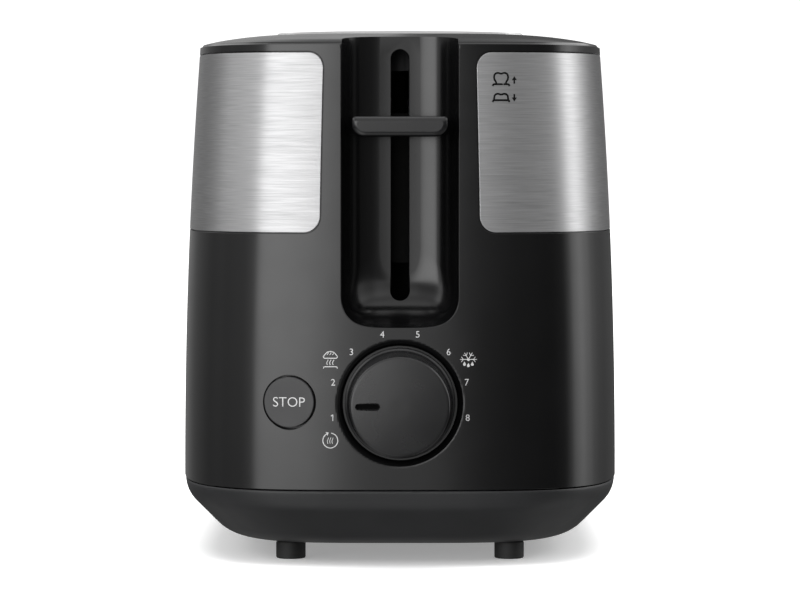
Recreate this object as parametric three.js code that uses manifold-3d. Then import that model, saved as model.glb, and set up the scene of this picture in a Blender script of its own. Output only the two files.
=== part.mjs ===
// Two-slot pop up toaster, built as an assembly of separate pieces.
// Millimetres, +Z up. The lever end faces -Y, and the toaster stands on z = 0.
// Every piece is drawn in the housing's frame, centred on the housing; the whole group is then
// moved along Y, because the dial stands further out in front than anything does behind.

import * as THREE from 'three';
import { mergeVertices } from 'three/addons/utils/BufferGeometryUtils.js';
import Module from 'manifold-3d';

const wasm = await Module();
wasm.setup();

// ---------------------------------------------------------------- driving dimensions

const GAP = 0.3;
const FAR = 400;
const PLAN_POWER = 4.2;
const PLAN_SEGMENTS = 40;

const HALF_WIDTH = 84.2;
const HALF_LENGTH = 140;
const SIDE_DRAFT = 6.2;
const END_DRAFT = 2.5;
const WALL = 2.6;
const SEAM_Z = 28.5;
const SHOULDER_Z = 192.6;
const SHOULDER_RADIUS = 1.2;
const SHOULDER_TURN = THREE.MathUtils.degToRad(40);
const DOME_RIM_Z = 194;
const DOME_HEIGHT = 5.4;
const DOME_WALL = 4.4;
const DOME_SHARES = [0.96, 0.84, 0.62];
const WALL_LEVELS = 3;

const BASE_Z = 7;
const BASE_WALL = 2.4;
const BASE_EDGE_INSET = 0.3;
const BASE_TOP_RADIUS = 12;
const BASE_BOTTOM_RADIUS = 14;
const BASE_SLOPE = THREE.MathUtils.degToRad(44);
const BASE_LIP_INSET = 3.1;
const BASE_LIP_TOP = 33;

const PANEL = { inner: 29.3, bottom: 123.6, top: 190.7, radius: 6.3, thickness: 0.8, pocket: 1.15 };
const RECESS = {
  halfWidth: 21.5,
  depth: 22,
  bottom: 88.9,
  radius: 10.5,
  backRadius: 14,
  scoop: 19,
  liner: 2.4,
};
const LEVER_SLOT = { halfWidth: 3.2, bottom: 98.5, top: 191.6 };
const DIAL = { z: 60.8, radius: 18.4, reach: 20, skirt: 20.4, shaft: 3 };
const DISH = { inner: 21, outer: 24.2, depth: 3, wall: 2.4 };
const STOP = { x: -41, z: 61.2, radius: 9.45, hole: 10.05, flange: 11 };
const LEVER = { z: 163, halfWidth: 17.75, halfHeight: 3.75, front: -141, back: -126, radius: 4 };

const PLATE = {
  halfWidth: 47.5,
  front: -80,
  back: 96,
  radius: 16,
  bulge: 3,
  seat: 197.5,
  top: 201.2,
  crown: 2.2,
  sheet: 0.9,
};
const PLATE_CROWN = { halfWidth: 54, halfLength: 98, shares: [1, 0.84, 0.62, 0.3] };
const SLOT = { x: 22, halfWidth: 15, front: -60, back: 76, radius: 6, skirtBottom: 186 };

const FOOT = { x: 41.3, y: 104, radius: 5.6, stem: 3 };
const POST = { x: 51, y: 94, radius: 5, top: 64 };
const SCREW = { radius: 1.4, head: 3.1, headHeight: 2.4 };

const TRAY = { halfWidth: 42.5, front: -60, back: 126, bottom: 13, top: 18.5, sheet: 1 };
const TRAY_GRIP = { halfWidth: 46, bottom: 12.4, top: 21.8 };

const CHASSIS = { front: -66, back: 82, halfWidth: 58, bottom: 23, top: 188, sheet: 1 };
const REFLECTOR_X = 52;
const HEATER = { x: 42, bottom: 40, top: 170, sheet: 1 };
const GUIDE = { offset: 12, pivotZ: 40, top: 160, wire: 1.6, wires: 7 };
const RACK = { z: 100, halfWidth: 7, wire: 1.6, bars: 8 };

const ROD = { y: -90, radius: 3, bottom: 11.5, top: 191 };
const CARRIAGE = { halfWidth: 30, bottom: 92.6, top: 128, sheet: 2 };
const MAGNET = { x: 18, y: -90, bottom: 14.3, top: 30.4, halfWidth: 10, halfDepth: 7 };
const CONTACT_X = -24;
const SPRING = { x: -14, radius: 3 };
const LOWER_BRACKET_Z = 12.6;
const UPPER_BRACKET_Z = 186;
const BOARD = { y: -121, halfWidth: 52, bottom: 35, top: 85.5, thickness: 1.5 };
const BOARD_SCREW = { x: 46, low: 41, high: 80 };
const INLET = { x: 55, z: 46, bore: 3.6, neck: 5.4, flange: 8 };

// ---------------------------------------------------------------- solids

/** Turns a closed three.js geometry into a solid that can be joined and cut. */
function solidOf(geometry) {
  const bare = geometry.clone();
  bare.deleteAttribute('normal');
  bare.deleteAttribute('uv');
  const merged = mergeVertices(bare);
  const vertProperties = Float32Array.from(merged.attributes.position.array);
  const triVerts = Uint32Array.from(merged.index.array);
  return new wasm.Manifold(new wasm.Mesh({ numProp: 3, vertProperties, triVerts }));
}

/** Turns a solid back into a three.js geometry. */
function geometryOf(solid) {
  const mesh = solid.getMesh();
  const geometry = new THREE.BufferGeometry();
  geometry.setAttribute('position', new THREE.BufferAttribute(mesh.vertProperties, mesh.numProp));
  geometry.setIndex(new THREE.BufferAttribute(mesh.triVerts, 1));
  geometry.computeVertexNormals();
  return geometry;
}

function join(...solids) {
  return solids.reduce((whole, piece) => whole.add(piece));
}

function cut(solid, ...cutters) {
  return cutters.reduce((rest, cutter) => rest.subtract(cutter), solid);
}

function box(x0, x1, y0, y1, z0, z1) {
  const geometry = new THREE.BoxGeometry(x1 - x0, y1 - y0, z1 - z0);
  geometry.translate((x0 + x1) / 2, (y0 + y1) / 2, (z0 + z1) / 2);
  return solidOf(geometry);
}

/** Cylinder along Z. */
function postAt(x, y, radius, z0, z1, sides = 12) {
  const geometry = new THREE.CylinderGeometry(radius, radius, z1 - z0, sides);
  geometry.rotateX(Math.PI / 2);
  geometry.translate(x, y, (z0 + z1) / 2);
  return solidOf(geometry);
}

/** Cylinder along Y. */
function pinAt(x, z, radius, y0, y1, sides = 12) {
  const geometry = new THREE.CylinderGeometry(radius, radius, y1 - y0, sides);
  geometry.translate(x, (y0 + y1) / 2, z);
  return solidOf(geometry);
}

/** Flat outline in X and Y, raised from z0 to z1. */
function prismZ(shape, z0, z1, curveSegments = 4) {
  const geometry = new THREE.ExtrudeGeometry(shape, { depth: z1 - z0, bevelEnabled: false, curveSegments });
  geometry.translate(0, 0, z0);
  return solidOf(geometry);
}

/** Flat outline in X and Z, run from y0 to y1. */
function prismY(shape, y0, y1, curveSegments = 4) {
  const geometry = new THREE.ExtrudeGeometry(shape, { depth: y1 - y0, bevelEnabled: false, curveSegments });
  geometry.rotateX(Math.PI / 2);
  geometry.translate(0, y1, 0);
  return solidOf(geometry);
}

/** Flat outline in Y and Z, run from x0 to x1. */
function prismX(shape, x0, x1, curveSegments = 4) {
  const geometry = new THREE.ExtrudeGeometry(shape, { depth: x1 - x0, bevelEnabled: false, curveSegments });
  const alongY = new THREE.Vector3(0, 1, 0);
  const alongZ = new THREE.Vector3(0, 0, 1);
  const alongX = new THREE.Vector3(1, 0, 0);
  geometry.applyMatrix4(new THREE.Matrix4().makeBasis(alongY, alongZ, alongX));
  geometry.translate(x0, 0, 0);
  return solidOf(geometry);
}

/** Solid turned about Y; each point is [radius, distance along Y]. */
function turned(points, segments = 32) {
  const profile = points.map(([radius, along]) => new THREE.Vector2(radius, along));
  return solidOf(new THREE.LatheGeometry(profile, segments));
}

function roundedRectangle(x0, x1, y0, y1, radius) {
  const shape = new THREE.Shape();
  shape.absarc(x1 - radius, y0 + radius, radius, -Math.PI / 2, 0);
  shape.absarc(x1 - radius, y1 - radius, radius, 0, Math.PI / 2);
  shape.absarc(x0 + radius, y1 - radius, radius, Math.PI / 2, Math.PI);
  shape.absarc(x0 + radius, y0 + radius, radius, Math.PI, 1.5 * Math.PI);
  shape.closePath();
  return shape;
}

/** Lofts superellipse rings, lowest first. Each ring is { a, b, z }: half width, half length, height. */
function loft(rings) {
  const closed = [{ a: 0, b: 0, z: rings[0].z }, ...rings, { a: 0, b: 0, z: rings.at(-1).z }];
  const profile = closed.map((ring) => new THREE.Vector2(ring.a, ring.z));
  const geometry = new THREE.LatheGeometry(profile, PLAN_SEGMENTS);
  const position = geometry.attributes.position;
  for (let i = 0; i < position.count; i += 1) {
    const ring = closed[i % closed.length];
    const step = Math.floor(i / closed.length) % PLAN_SEGMENTS;
    const angle = (step / PLAN_SEGMENTS) * 2 * Math.PI;
    const x = superPower(Math.sin(angle)) * ring.a;
    const y = -superPower(Math.cos(angle)) * ring.b;
    position.setXYZ(i, x, y, ring.z);
  }
  return solidOf(geometry);
}

function superPower(value) {
  const clean = Math.abs(value) < 1e-9 ? 0 : value;
  return Math.sign(clean) * Math.abs(clean) ** (2 / PLAN_POWER);
}

// ---------------------------------------------------------------- outer form

/** Share of the wall's lean at height z: none at the seam, all of it at the shoulder. */
function lean(z) {
  return ((z - SEAM_Z) / (SHOULDER_Z - SEAM_Z)) ** 2;
}

function ringAt(z, inset) {
  return {
    a: HALF_WIDTH - SIDE_DRAFT * lean(z) - inset,
    b: HALF_LENGTH - END_DRAFT * lean(z) - inset,
    z,
  };
}

/** The housing's outside as a solid, or its inside with an inset and a lower dome. */
function housingForm(bottom, inset, drop) {
  const rings = [];
  for (let i = 0; i <= WALL_LEVELS; i += 1) {
    const z = SEAM_Z + ((SHOULDER_Z - SEAM_Z) * i) / WALL_LEVELS;
    rings.push(ringAt(i === 0 ? bottom : z, inset));
  }
  rings.at(-1).z -= drop;
  const shoulder = ringAt(SHOULDER_Z, inset);
  const back = SHOULDER_RADIUS * (1 - Math.cos(SHOULDER_TURN));
  const up = SHOULDER_RADIUS * Math.sin(SHOULDER_TURN);
  rings.push({ a: shoulder.a - back, b: shoulder.b - back, z: SHOULDER_Z + up - drop });
  for (const share of DOME_SHARES) {
    const z = DOME_RIM_Z + DOME_HEIGHT * (1 - share ** PLAN_POWER) - drop;
    rings.push({ a: shoulder.a * share, b: shoulder.b * share, z });
  }
  return loft(rings);
}

/** Height, and lean away from the Y axis, of the end wall at x, on the front (-1) or the back (+1). */
function endWallAt(x, z, end) {
  const ring = ringAt(z, 0);
  const share = Math.abs(x) / ring.a;
  const y = ring.b * (1 - share ** PLAN_POWER) ** (1 / PLAN_POWER);
  const slopeX = share ** (PLAN_POWER - 1) / ring.a;
  const slopeY = (y / ring.b) ** (PLAN_POWER - 1) / ring.b;
  const normal = new THREE.Vector2(Math.sign(x) * slopeX, end * slopeY).normalize();
  return { y: end * y, normal, turn: Math.atan2(-normal.x, normal.y) };
}

/** The base's outline from the seam down: fillet, slope, fillet, as [inset, z] points. */
function baseProfile(wall) {
  const seam = SEAM_Z - GAP / 2;
  const slopeSin = Math.sin(BASE_SLOPE);
  const slopeCos = Math.cos(BASE_SLOPE);
  const drop = seam - BASE_Z - BASE_TOP_RADIUS * slopeSin - BASE_BOTTOM_RADIUS * (1 - slopeSin);
  const straight = drop / slopeCos;
  const upperX = BASE_EDGE_INSET + BASE_TOP_RADIUS;
  const lowerX = upperX - BASE_TOP_RADIUS * slopeCos + straight * slopeSin + BASE_BOTTOM_RADIUS * slopeCos;
  const steps = 3;
  const points = [];
  for (let i = 0; i <= steps; i += 1) {
    const angle = (BASE_SLOPE * i) / steps;
    const radius = BASE_TOP_RADIUS - wall;
    points.push([upperX - radius * Math.cos(angle), seam - radius * Math.sin(angle)]);
  }
  for (let i = 0; i <= steps; i += 1) {
    const angle = BASE_SLOPE + ((Math.PI / 2 - BASE_SLOPE) * i) / steps;
    const radius = BASE_BOTTOM_RADIUS - wall;
    points.push([lowerX - radius * Math.cos(angle), BASE_Z + BASE_BOTTOM_RADIUS - radius * Math.sin(angle)]);
  }
  return points;
}

function baseForm(wall, top) {
  const rings = baseProfile(wall).map(([inset, z]) => ({ a: HALF_WIDTH - inset, b: HALF_LENGTH - inset, z }));
  rings.reverse();
  if (top !== undefined) {
    rings.push({ ...rings.at(-1), z: top });
  }
  return loft(rings);
}

function uprightForm(inset, bottom, top) {
  const ring = { a: HALF_WIDTH - inset, b: HALF_LENGTH - inset };
  return loft([{ ...ring, z: bottom }, { ...ring, z: top }]);
}

/** The upright lip that the housing slips over, and the ledge that ties it to the base's wall. */
function baseLip() {
  const ledgeTop = SEAM_Z - 0.5;
  const ledge = uprightForm(BASE_WALL / 2, ledgeTop - 2.5, ledgeTop);
  const lip = uprightForm(BASE_LIP_INSET, ledgeTop - 1, BASE_LIP_TOP);
  return join(ledge, lip).subtract(uprightForm(BASE_LIP_INSET + 1.6, BASE_Z, BASE_LIP_TOP + 1));
}

// ---------------------------------------------------------------- housing and skins

/** The lever recess as a cutter; grow makes the liner that surrounds it. */
function recessForm(grow) {
  const half = RECESS.halfWidth + grow;
  const mouth = -HALF_LENGTH - 20;
  const back = -HALF_LENGTH + RECESS.depth + grow;
  const backRadius = RECESS.backRadius + grow;
  const floor = RECESS.bottom - grow;
  const radius = RECESS.radius + grow;
  const scoop = RECESS.scoop + grow;
  const roof = PLATE.top + 10;

  const plan = new THREE.Shape();
  plan.moveTo(-half, mouth);
  plan.lineTo(half, mouth);
  plan.absarc(half - backRadius, back - backRadius, backRadius, 0, Math.PI / 2);
  plan.absarc(backRadius - half, back - backRadius, backRadius, Math.PI / 2, Math.PI);
  plan.closePath();

  const front = new THREE.Shape();
  front.moveTo(half, roof);
  front.lineTo(-half, roof);
  front.absarc(radius - half, floor + radius, radius, Math.PI, 1.5 * Math.PI);
  front.absarc(half - radius, floor + radius, radius, 1.5 * Math.PI, 2 * Math.PI);
  front.closePath();

  const side = new THREE.Shape();
  side.moveTo(back, roof);
  side.lineTo(mouth, roof);
  side.lineTo(mouth, floor);
  side.absarc(back - scoop, floor + scoop, scoop, 1.5 * Math.PI, 2 * Math.PI);
  side.closePath();

  const upright = prismZ(plan, floor - 1, roof);
  const across = prismY(front, mouth, back + 1);
  const along = prismX(side, -half - 1, half + 1);
  return upright.intersect(across).intersect(along);
}

/** The outline of a steel panel seen from the front, on the right side, with a margin all round. */
function panelWindow(margin) {
  return roundedRectangle(
    PANEL.inner + margin,
    HALF_WIDTH + 30,
    PANEL.bottom + margin,
    PANEL.top - margin,
    PANEL.radius - margin,
  );
}

function mirrorShape(shape) {
  const points = shape.getPoints(8).map((point) => new THREE.Vector2(-point.x, point.y));
  return new THREE.Shape(points.reverse());
}

function sidePanel(side) {
  const window = panelWindow(0.35);
  const outline = side > 0 ? window : mirrorShape(window);
  const skin = housingForm(SEAM_Z, 0, 0).subtract(housingForm(SEAM_Z, PANEL.thickness, 0));
  return skin.intersect(prismY(outline, -FAR, FAR));
}

function panelPockets() {
  const core = housingForm(SEAM_Z, PANEL.pocket, 0);
  const window = panelWindow(0);
  const right = prismY(window, -FAR, FAR);
  const left = prismY(mirrorShape(window), -FAR, FAR);
  return join(right, left).subtract(core);
}

function plateOutline(grow) {
  const half = PLATE.halfWidth + grow;
  const front = PLATE.front - grow;
  const back = PLATE.back + grow;
  const radius = PLATE.radius + grow;
  const shape = new THREE.Shape();
  shape.moveTo(-half + radius, front);
  shape.quadraticCurveTo(0, front - 2 * PLATE.bulge, half - radius, front);
  shape.absarc(half - radius, front + radius, radius, -Math.PI / 2, 0);
  shape.absarc(half - radius, back - radius, radius, 0, Math.PI / 2);
  shape.absarc(radius - half, back - radius, radius, Math.PI / 2, Math.PI);
  shape.absarc(radius - half, front + radius, radius, Math.PI, 1.5 * Math.PI);
  return shape;
}

/** Corner posts that take the base screws, each on a web that runs out to the side wall. */
function cornerPosts() {
  const webHalf = 1.2;
  const webBottom = BASE_LIP_TOP + 3;
  const posts = [];
  for (const sx of [-1, 1]) {
    for (const sy of [-1, 1]) {
      const x = sx * POST.x;
      const y = sy * POST.y;
      const wallX = sx * (HALF_WIDTH - 2);
      posts.push(postAt(x, y, POST.radius, SEAM_Z + GAP, POST.top));
      posts.push(box(Math.min(x, wallX), Math.max(x, wallX), y - webHalf, y + webHalf, webBottom, POST.top));
    }
  }
  return join(...posts);
}

function cornerPostHoles() {
  const holes = [];
  for (const sx of [-1, 1]) {
    for (const sy of [-1, 1]) {
      holes.push(postAt(sx * POST.x, sy * POST.y, SCREW.radius + GAP, BASE_Z, POST.top - 6, 8));
    }
  }
  return join(...holes);
}

function boardBosses() {
  const bosses = [];
  for (const x of [-BOARD_SCREW.x, BOARD_SCREW.x]) {
    for (const z of [BOARD_SCREW.low, BOARD_SCREW.high]) {
      bosses.push(pinAt(x, z, 3.5, -HALF_LENGTH, BOARD.y - BOARD.thickness - GAP));
    }
  }
  return join(...bosses);
}

function boardBossHoles() {
  const holes = [];
  for (const x of [-BOARD_SCREW.x, BOARD_SCREW.x]) {
    for (const z of [BOARD_SCREW.low, BOARD_SCREW.high]) {
      holes.push(pinAt(x, z, SCREW.radius + GAP, -HALF_LENGTH + 9, BOARD.y, 8));
    }
  }
  return join(...holes);
}

/** The dish in the front wall that the dial's skirt sits in; grow makes the wall behind it. */
function dialDish(grow) {
  const dish = turned([
    [0, -DISH.depth - grow],
    [DISH.inner + grow, -DISH.depth - grow],
    [DISH.outer + grow, 0],
    [DISH.outer + grow, 2],
    [0, 2],
  ], 32);
  return dish.rotate([0, 0, 180]).translate([0, endWallAt(0, DIAL.z, -1).y, DIAL.z]);
}

function wallBore(x, z, end, radius, sides = 28) {
  const wall = endWallAt(x, z, end);
  const bore = turned([[0, -12], [radius, -12], [radius, 12], [0, 12]], sides);
  return bore.rotate([0, 0, THREE.MathUtils.radToDeg(wall.turn)]).translate([x, wall.y, z]);
}

function leverSlot() {
  const { halfWidth, bottom, top } = LEVER_SLOT;
  const outline = roundedRectangle(-halfWidth, halfWidth, bottom, top, halfWidth - 0.01);
  const back = -HALF_LENGTH + RECESS.depth;
  return prismY(outline, back - 15, back + 8);
}

function outerHousing() {
  const outside = housingForm(SEAM_Z + GAP / 2, 0, 0);
  const inside = housingForm(SEAM_Z - 5, WALL, DOME_WALL);
  const liner = recessForm(RECESS.liner);
  const fittings = join(liner, cornerPosts(), boardBosses(), dialDish(DISH.wall));
  const shell = join(outside.subtract(inside), fittings.intersect(housingForm(SEAM_Z + GAP / 2, 1, 1)));
  return cut(
    shell,
    recessForm(0),
    leverSlot(),
    dialDish(0),
    panelPockets(),
    wallBore(0, DIAL.z, -1, DIAL.shaft + 1, 12),
    wallBore(STOP.x, STOP.z, -1, STOP.hole),
    wallBore(INLET.x, INLET.z, 1, INLET.neck + GAP, 16),
    prismZ(plateOutline(0.4), PLATE.seat, FAR),
    prismZ(plateOutline(-3.5), PLATE.seat - 20, FAR),
    cornerPostHoles(),
    boardBossHoles(),
  );
}

function breadSlot(side, grow) {
  const x = side * SLOT.x;
  return roundedRectangle(
    x - SLOT.halfWidth - grow,
    x + SLOT.halfWidth + grow,
    SLOT.front - grow,
    SLOT.back + grow,
    SLOT.radius + grow,
  );
}

/** A block with the plate's gently domed top, as high as z at the middle. */
function plateCrown(z) {
  const rings = PLATE_CROWN.shares.map((share) => ({
    a: PLATE_CROWN.halfWidth * share,
    b: PLATE_CROWN.halfLength * share,
    z: z - PLATE.crown * share ** 2,
  }));
  rings.unshift({ ...rings[0], z: SLOT.skirtBottom - 1 });
  return loft(rings).translate([0, (PLATE.front + PLATE.back) / 2, 0]);
}

/** A pressed sheet: its outer edge is turned down onto the housing, its slots are turned down inside. */
function topPlate() {
  const hollow = prismZ(plateOutline(-PLATE.sheet), PLATE.seat - 1, PLATE.top, 5);
  const pan = cut(
    prismZ(plateOutline(0), PLATE.seat + GAP, PLATE.top, 5),
    hollow.intersect(plateCrown(PLATE.top - PLATE.sheet)),
  );
  const sleeves = join(...[-1, 1].map((side) => (
    prismZ(breadSlot(side, PLATE.sheet), SLOT.skirtBottom, PLATE.top, 4)
  )));
  const throats = join(...[-1, 1].map((side) => prismZ(breadSlot(side, 0), SLOT.skirtBottom - 1, FAR, 4)));
  return join(pan, sleeves).intersect(plateCrown(PLATE.top)).subtract(throats);
}

// ---------------------------------------------------------------- base

function baseTray() {
  const seam = SEAM_Z - GAP / 2;
  const shell = baseForm(0).subtract(baseForm(BASE_WALL, seam + 5));
  const floorTop = BASE_Z + BASE_WALL;
  const ribs = [];
  const bosses = [];
  const holes = [];
  for (const sx of [-1, 1]) {
    const rail = sx * (TRAY_GRIP.halfWidth - 1.3);
    const rest = sx * (TRAY.halfWidth - 13);
    const railTop = CHASSIS.bottom - 0.4;
    ribs.push(box(rail - 0.8, rail + 0.8, TRAY.front - 2, CHASSIS.back + 6, floorTop - 0.5, railTop));
    ribs.push(box(rest - 1, rest + 1, TRAY.front, TRAY.back - 14, floorTop - 0.5, TRAY.bottom - 0.4));
    for (const sy of [-1, 1]) {
      bosses.push(postAt(sx * POST.x, sy * POST.y, POST.radius, BASE_Z + 1, seam));
      holes.push(postAt(sx * POST.x, sy * POST.y, SCREW.radius + GAP, BASE_Z - 1, seam + 1, 8));
      holes.push(postAt(sx * POST.x, sy * POST.y, SCREW.head + GAP, BASE_Z - 1, BASE_Z + 4));
      holes.push(postAt(sx * FOOT.x, sy * FOOT.y, FOOT.stem + GAP, BASE_Z - 1, floorTop + 1));
    }
  }
  const half = TRAY_GRIP.halfWidth + 0.4;
  const door = box(-half, half, TRAY.back - 12, FAR, TRAY_GRIP.bottom - 0.3, TRAY_GRIP.top + 0.3);
  return cut(join(shell, baseLip(), ...ribs, ...bosses), door, ...holes);
}

function crumbTray() {
  const { halfWidth, front, back, bottom, top, sheet } = TRAY;
  const pan = box(-halfWidth, halfWidth, front, back, bottom, top);
  const innerHalf = halfWidth - sheet;
  return pan.subtract(box(-innerHalf, innerHalf, front + sheet, back - sheet, bottom + sheet, FAR));
}

/** The tray's grip closes the opening in the base and carries on the base's slope. */
function crumbTrayGrip() {
  const { halfWidth, bottom, top } = TRAY_GRIP;
  const start = TRAY.back + 0.4;
  const block = box(-halfWidth, halfWidth, start, FAR, bottom, top).intersect(baseForm(0));
  const fingerNotch = box(-16, 16, start + 2.2, FAR, bottom - 1, bottom + 3.4);
  return block.subtract(fingerNotch);
}

function footSolid() {
  const foot = postAt(0, 0, FOOT.radius, 0, BASE_Z - GAP, 20);
  const stem = postAt(0, 0, FOOT.stem, BASE_Z - 1, BASE_Z + BASE_WALL + 1.5);
  return foot.add(stem);
}

/** A screw that stands on its slotted head; length runs up from the head. */
function screwSolid(length) {
  const head = postAt(0, 0, SCREW.head, 0, SCREW.headHeight);
  const shank = postAt(0, 0, SCREW.radius, SCREW.headHeight - 0.5, length, 8);
  return head.add(shank).subtract(box(-FAR, FAR, -0.5, 0.5, -1, 1));
}

function cordInlet() {
  const inner = -WALL - 3.6;
  const clampFace = -WALL - 1.8;
  const flangeFace = GAP + 0.2;
  const outer = 2.6;
  return turned([
    [INLET.bore, inner],
    [INLET.neck + 1.4, inner],
    [INLET.neck + 1.4, clampFace],
    [INLET.neck, clampFace],
    [INLET.neck, flangeFace],
    [INLET.flange, flangeFace],
    [INLET.flange - 1, outer],
    [INLET.bore, outer],
    [INLET.bore, inner],
  ], 16);
}

// ---------------------------------------------------------------- controls

/** Dial: a hollow cap with a flared skirt and a hub that sits on the potentiometer's shaft. */
function browningKnob() {
  const { radius, reach, skirt, shaft } = DIAL;
  const foot = GAP - DISH.depth;
  const bore = shaft + GAP;
  const cap = turned([
    [0, 10.4],
    [bore, 10.4],
    [bore, foot],
    [bore + 2.4, foot],
    [bore + 2.4, reach - 2.2],
    [radius - 2, reach - 2.2],
    [radius - 2, foot],
    [skirt, foot],
    [skirt, foot + 2.4],
    [radius + 0.8, foot + 3.4],
    [radius + 0.3, foot + 5],
    [radius, reach - 1],
    [radius - 0.4, reach - 0.3],
    [radius - 1.1, reach],
    [0, reach],
  ], 36);
  const groove = roundedRectangle(7.5, 16.4, -1.15, 1.15, 1.14);
  return cap.subtract(prismY(groove, reach - 0.8, reach + 1, 4));
}

function stopButton() {
  const face = 0.6;
  return turned([
    [0, -6],
    [STOP.flange, -6],
    [STOP.flange, -4.6],
    [STOP.radius, -4.6],
    [STOP.radius, face - 0.5],
    [STOP.radius - 0.5, face],
    [0, face],
  ], 32);
}

/** Lever knob: a flat finger bar with its lower edges rounded, hollow where the stem enters. */
function leverKnob() {
  const { z, halfWidth, halfHeight, front, back, radius } = LEVER;
  const plan = roundedRectangle(-halfWidth, halfWidth, front, back, 5);
  const face = new THREE.Shape();
  face.moveTo(halfWidth, z + halfHeight);
  face.lineTo(-halfWidth, z + halfHeight);
  face.absarc(radius - halfWidth, z - halfHeight + radius, radius, Math.PI, 1.5 * Math.PI);
  face.absarc(halfWidth - radius, z - halfHeight + radius, radius, 1.5 * Math.PI, 2 * Math.PI);
  face.closePath();
  const upright = prismZ(plan, z - halfHeight - 1, z + halfHeight + 1, 4);
  const bar = upright.intersect(prismY(face, front - 1, back + 1, 5));
  return bar.subtract(box(-1.8, 1.8, front + 9.6, back + 1, z - 2.9, z + 2.9));
}

// ---------------------------------------------------------------- bread chamber

/** Upright chassis plate, with a tall window on each side for the rack's arm or tail. */
function chassisPlate(y0, windowHalf) {
  const { halfWidth, bottom, top, sheet } = CHASSIS;
  const plate = box(-halfWidth, halfWidth, y0, y0 + sheet, bottom, top);
  const windows = [-1, 1].map((side) => (
    box(side * SLOT.x - windowHalf, side * SLOT.x + windowHalf, y0 - 1, y0 + sheet + 1, 34, 128)
  ));
  return cut(plate, ...windows);
}

/** Side reflector with its top edge folded in towards the heater. */
function reflector(side) {
  const y0 = CHASSIS.front + 0.5;
  const y1 = CHASSIS.back - 0.5;
  const top = CHASSIS.top - 3;
  const x = side * REFLECTOR_X;
  const fold = x - side * 6;
  const sheet = box(x - 0.5, x + 0.5, y0, y1, CHASSIS.bottom + 2, top);
  return sheet.add(box(Math.min(x, fold), Math.max(x, fold), y0, y1, top - 1, top));
}

function heaterBoard(x) {
  const half = HEATER.sheet / 2;
  return box(x - half, x + half, CHASSIS.front + 0.4, CHASSIS.back - 0.4, HEATER.bottom, HEATER.top);
}

/** Wire guard, drawn at its own pivot: a foot rod, a top rod and upright wires between them. */
function breadGuide() {
  const half = GUIDE.wire / 2;
  const y0 = CHASSIS.front + 1;
  const y1 = CHASSIS.back - 1;
  const height = GUIDE.top - GUIDE.pivotZ;
  const rods = [
    box(-half, half, y0, y1, -half, half),
    box(-half, half, SLOT.front + 2, SLOT.back - 2, height - GUIDE.wire, height),
  ];
  const pitch = (SLOT.back - SLOT.front - 4 - GUIDE.wire) / (GUIDE.wires - 1);
  for (let i = 0; i < GUIDE.wires; i += 1) {
    const y = SLOT.front + 2 + half + i * pitch;
    rods.push(box(-half, half, y - half, y + half, 0, height));
  }
  return join(...rods);
}

/** Bread rack, drawn on its slot's centre line: two rails, cross wires, a front arm and a rear tail. */
function breadRack() {
  const { z, halfWidth, wire, bars } = RACK;
  const front = SLOT.front + 3;
  const back = SLOT.back - 3;
  const solids = [
    box(-halfWidth, -halfWidth + wire, front, back, z - wire, z),
    box(halfWidth - wire, halfWidth, front, back, z - wire, z),
    box(-2, 2, CHASSIS.front - 4.4, front + 4, z - 4, z),
    box(-1.2, 1.2, back - 4, CHASSIS.back + 4, z - 3, z),
  ];
  const pitch = (back - front - wire) / (bars - 1);
  for (let i = 0; i < bars; i += 1) {
    const y = front + i * pitch;
    solids.push(box(-halfWidth, halfWidth, y, y + wire, z - wire, z));
  }
  return join(...solids);
}

// ---------------------------------------------------------------- lift mechanism

/** Pressed slide with a sleeve on the rod and a tongue that ends in the lever's stem. */
function carriage() {
  const { halfWidth, bottom, top, sheet } = CARRIAGE;
  const back = CHASSIS.front - 5;
  const tongueBack = -110.5;
  const tongueFront = -113;
  const stemFront = LEVER.front + 10;
  const stemHalf = 3.2;
  const solids = [
    box(-halfWidth, halfWidth, ROD.y - 6, back, bottom, bottom + sheet),
    box(-halfWidth, halfWidth, back - 2.5, back, bottom, top),
    box(-7, 7, ROD.y - 7, ROD.y + 7, bottom, top - 4),
    box(-4, 4, ROD.y, back - 1, bottom, top - 4),
    box(-4, 4, tongueFront, ROD.y, top - 16, top - 6),
    box(-7, 7, tongueFront, tongueBack, top - 16, LEVER.z + 5),
    box(-1.5, 1.5, stemFront, tongueBack, LEVER.z - 2.6, LEVER.z + stemHalf - 0.6),
  ];
  const bore = postAt(0, ROD.y, ROD.radius + GAP, bottom - 1, top);
  return join(...solids).subtract(bore);
}

/** L-shaped bracket on the front chassis plate that holds one end of the guide rod. */
function rodBracket(z, wallZ0, wallZ1, x0, x1) {
  const wallBack = CHASSIS.front - CHASSIS.sheet - GAP;
  const tab = box(x0, x1, ROD.y - 12, wallBack, z, z + 1.6);
  const wall = box(x0, x1, wallBack - 1.6, wallBack, wallZ0, wallZ1);
  return join(tab, wall).subtract(postAt(0, ROD.y, ROD.radius + GAP, z - 1, z + 3));
}

function upperBracket() {
  const z = UPPER_BRACKET_Z;
  const tab = rodBracket(z, z - 12, z + 1.6, -20, 20);
  return tab.add(box(-12, 12, ROD.y - 12, ROD.y - 10.4, z - 2, z + 6));
}

function rodNut() {
  const z = UPPER_BRACKET_Z + 1.6 + GAP;
  return postAt(0, ROD.y, 5, z, z + 2.6, 6).subtract(postAt(0, ROD.y, ROD.radius + GAP, z - 1, z + 4));
}

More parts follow.
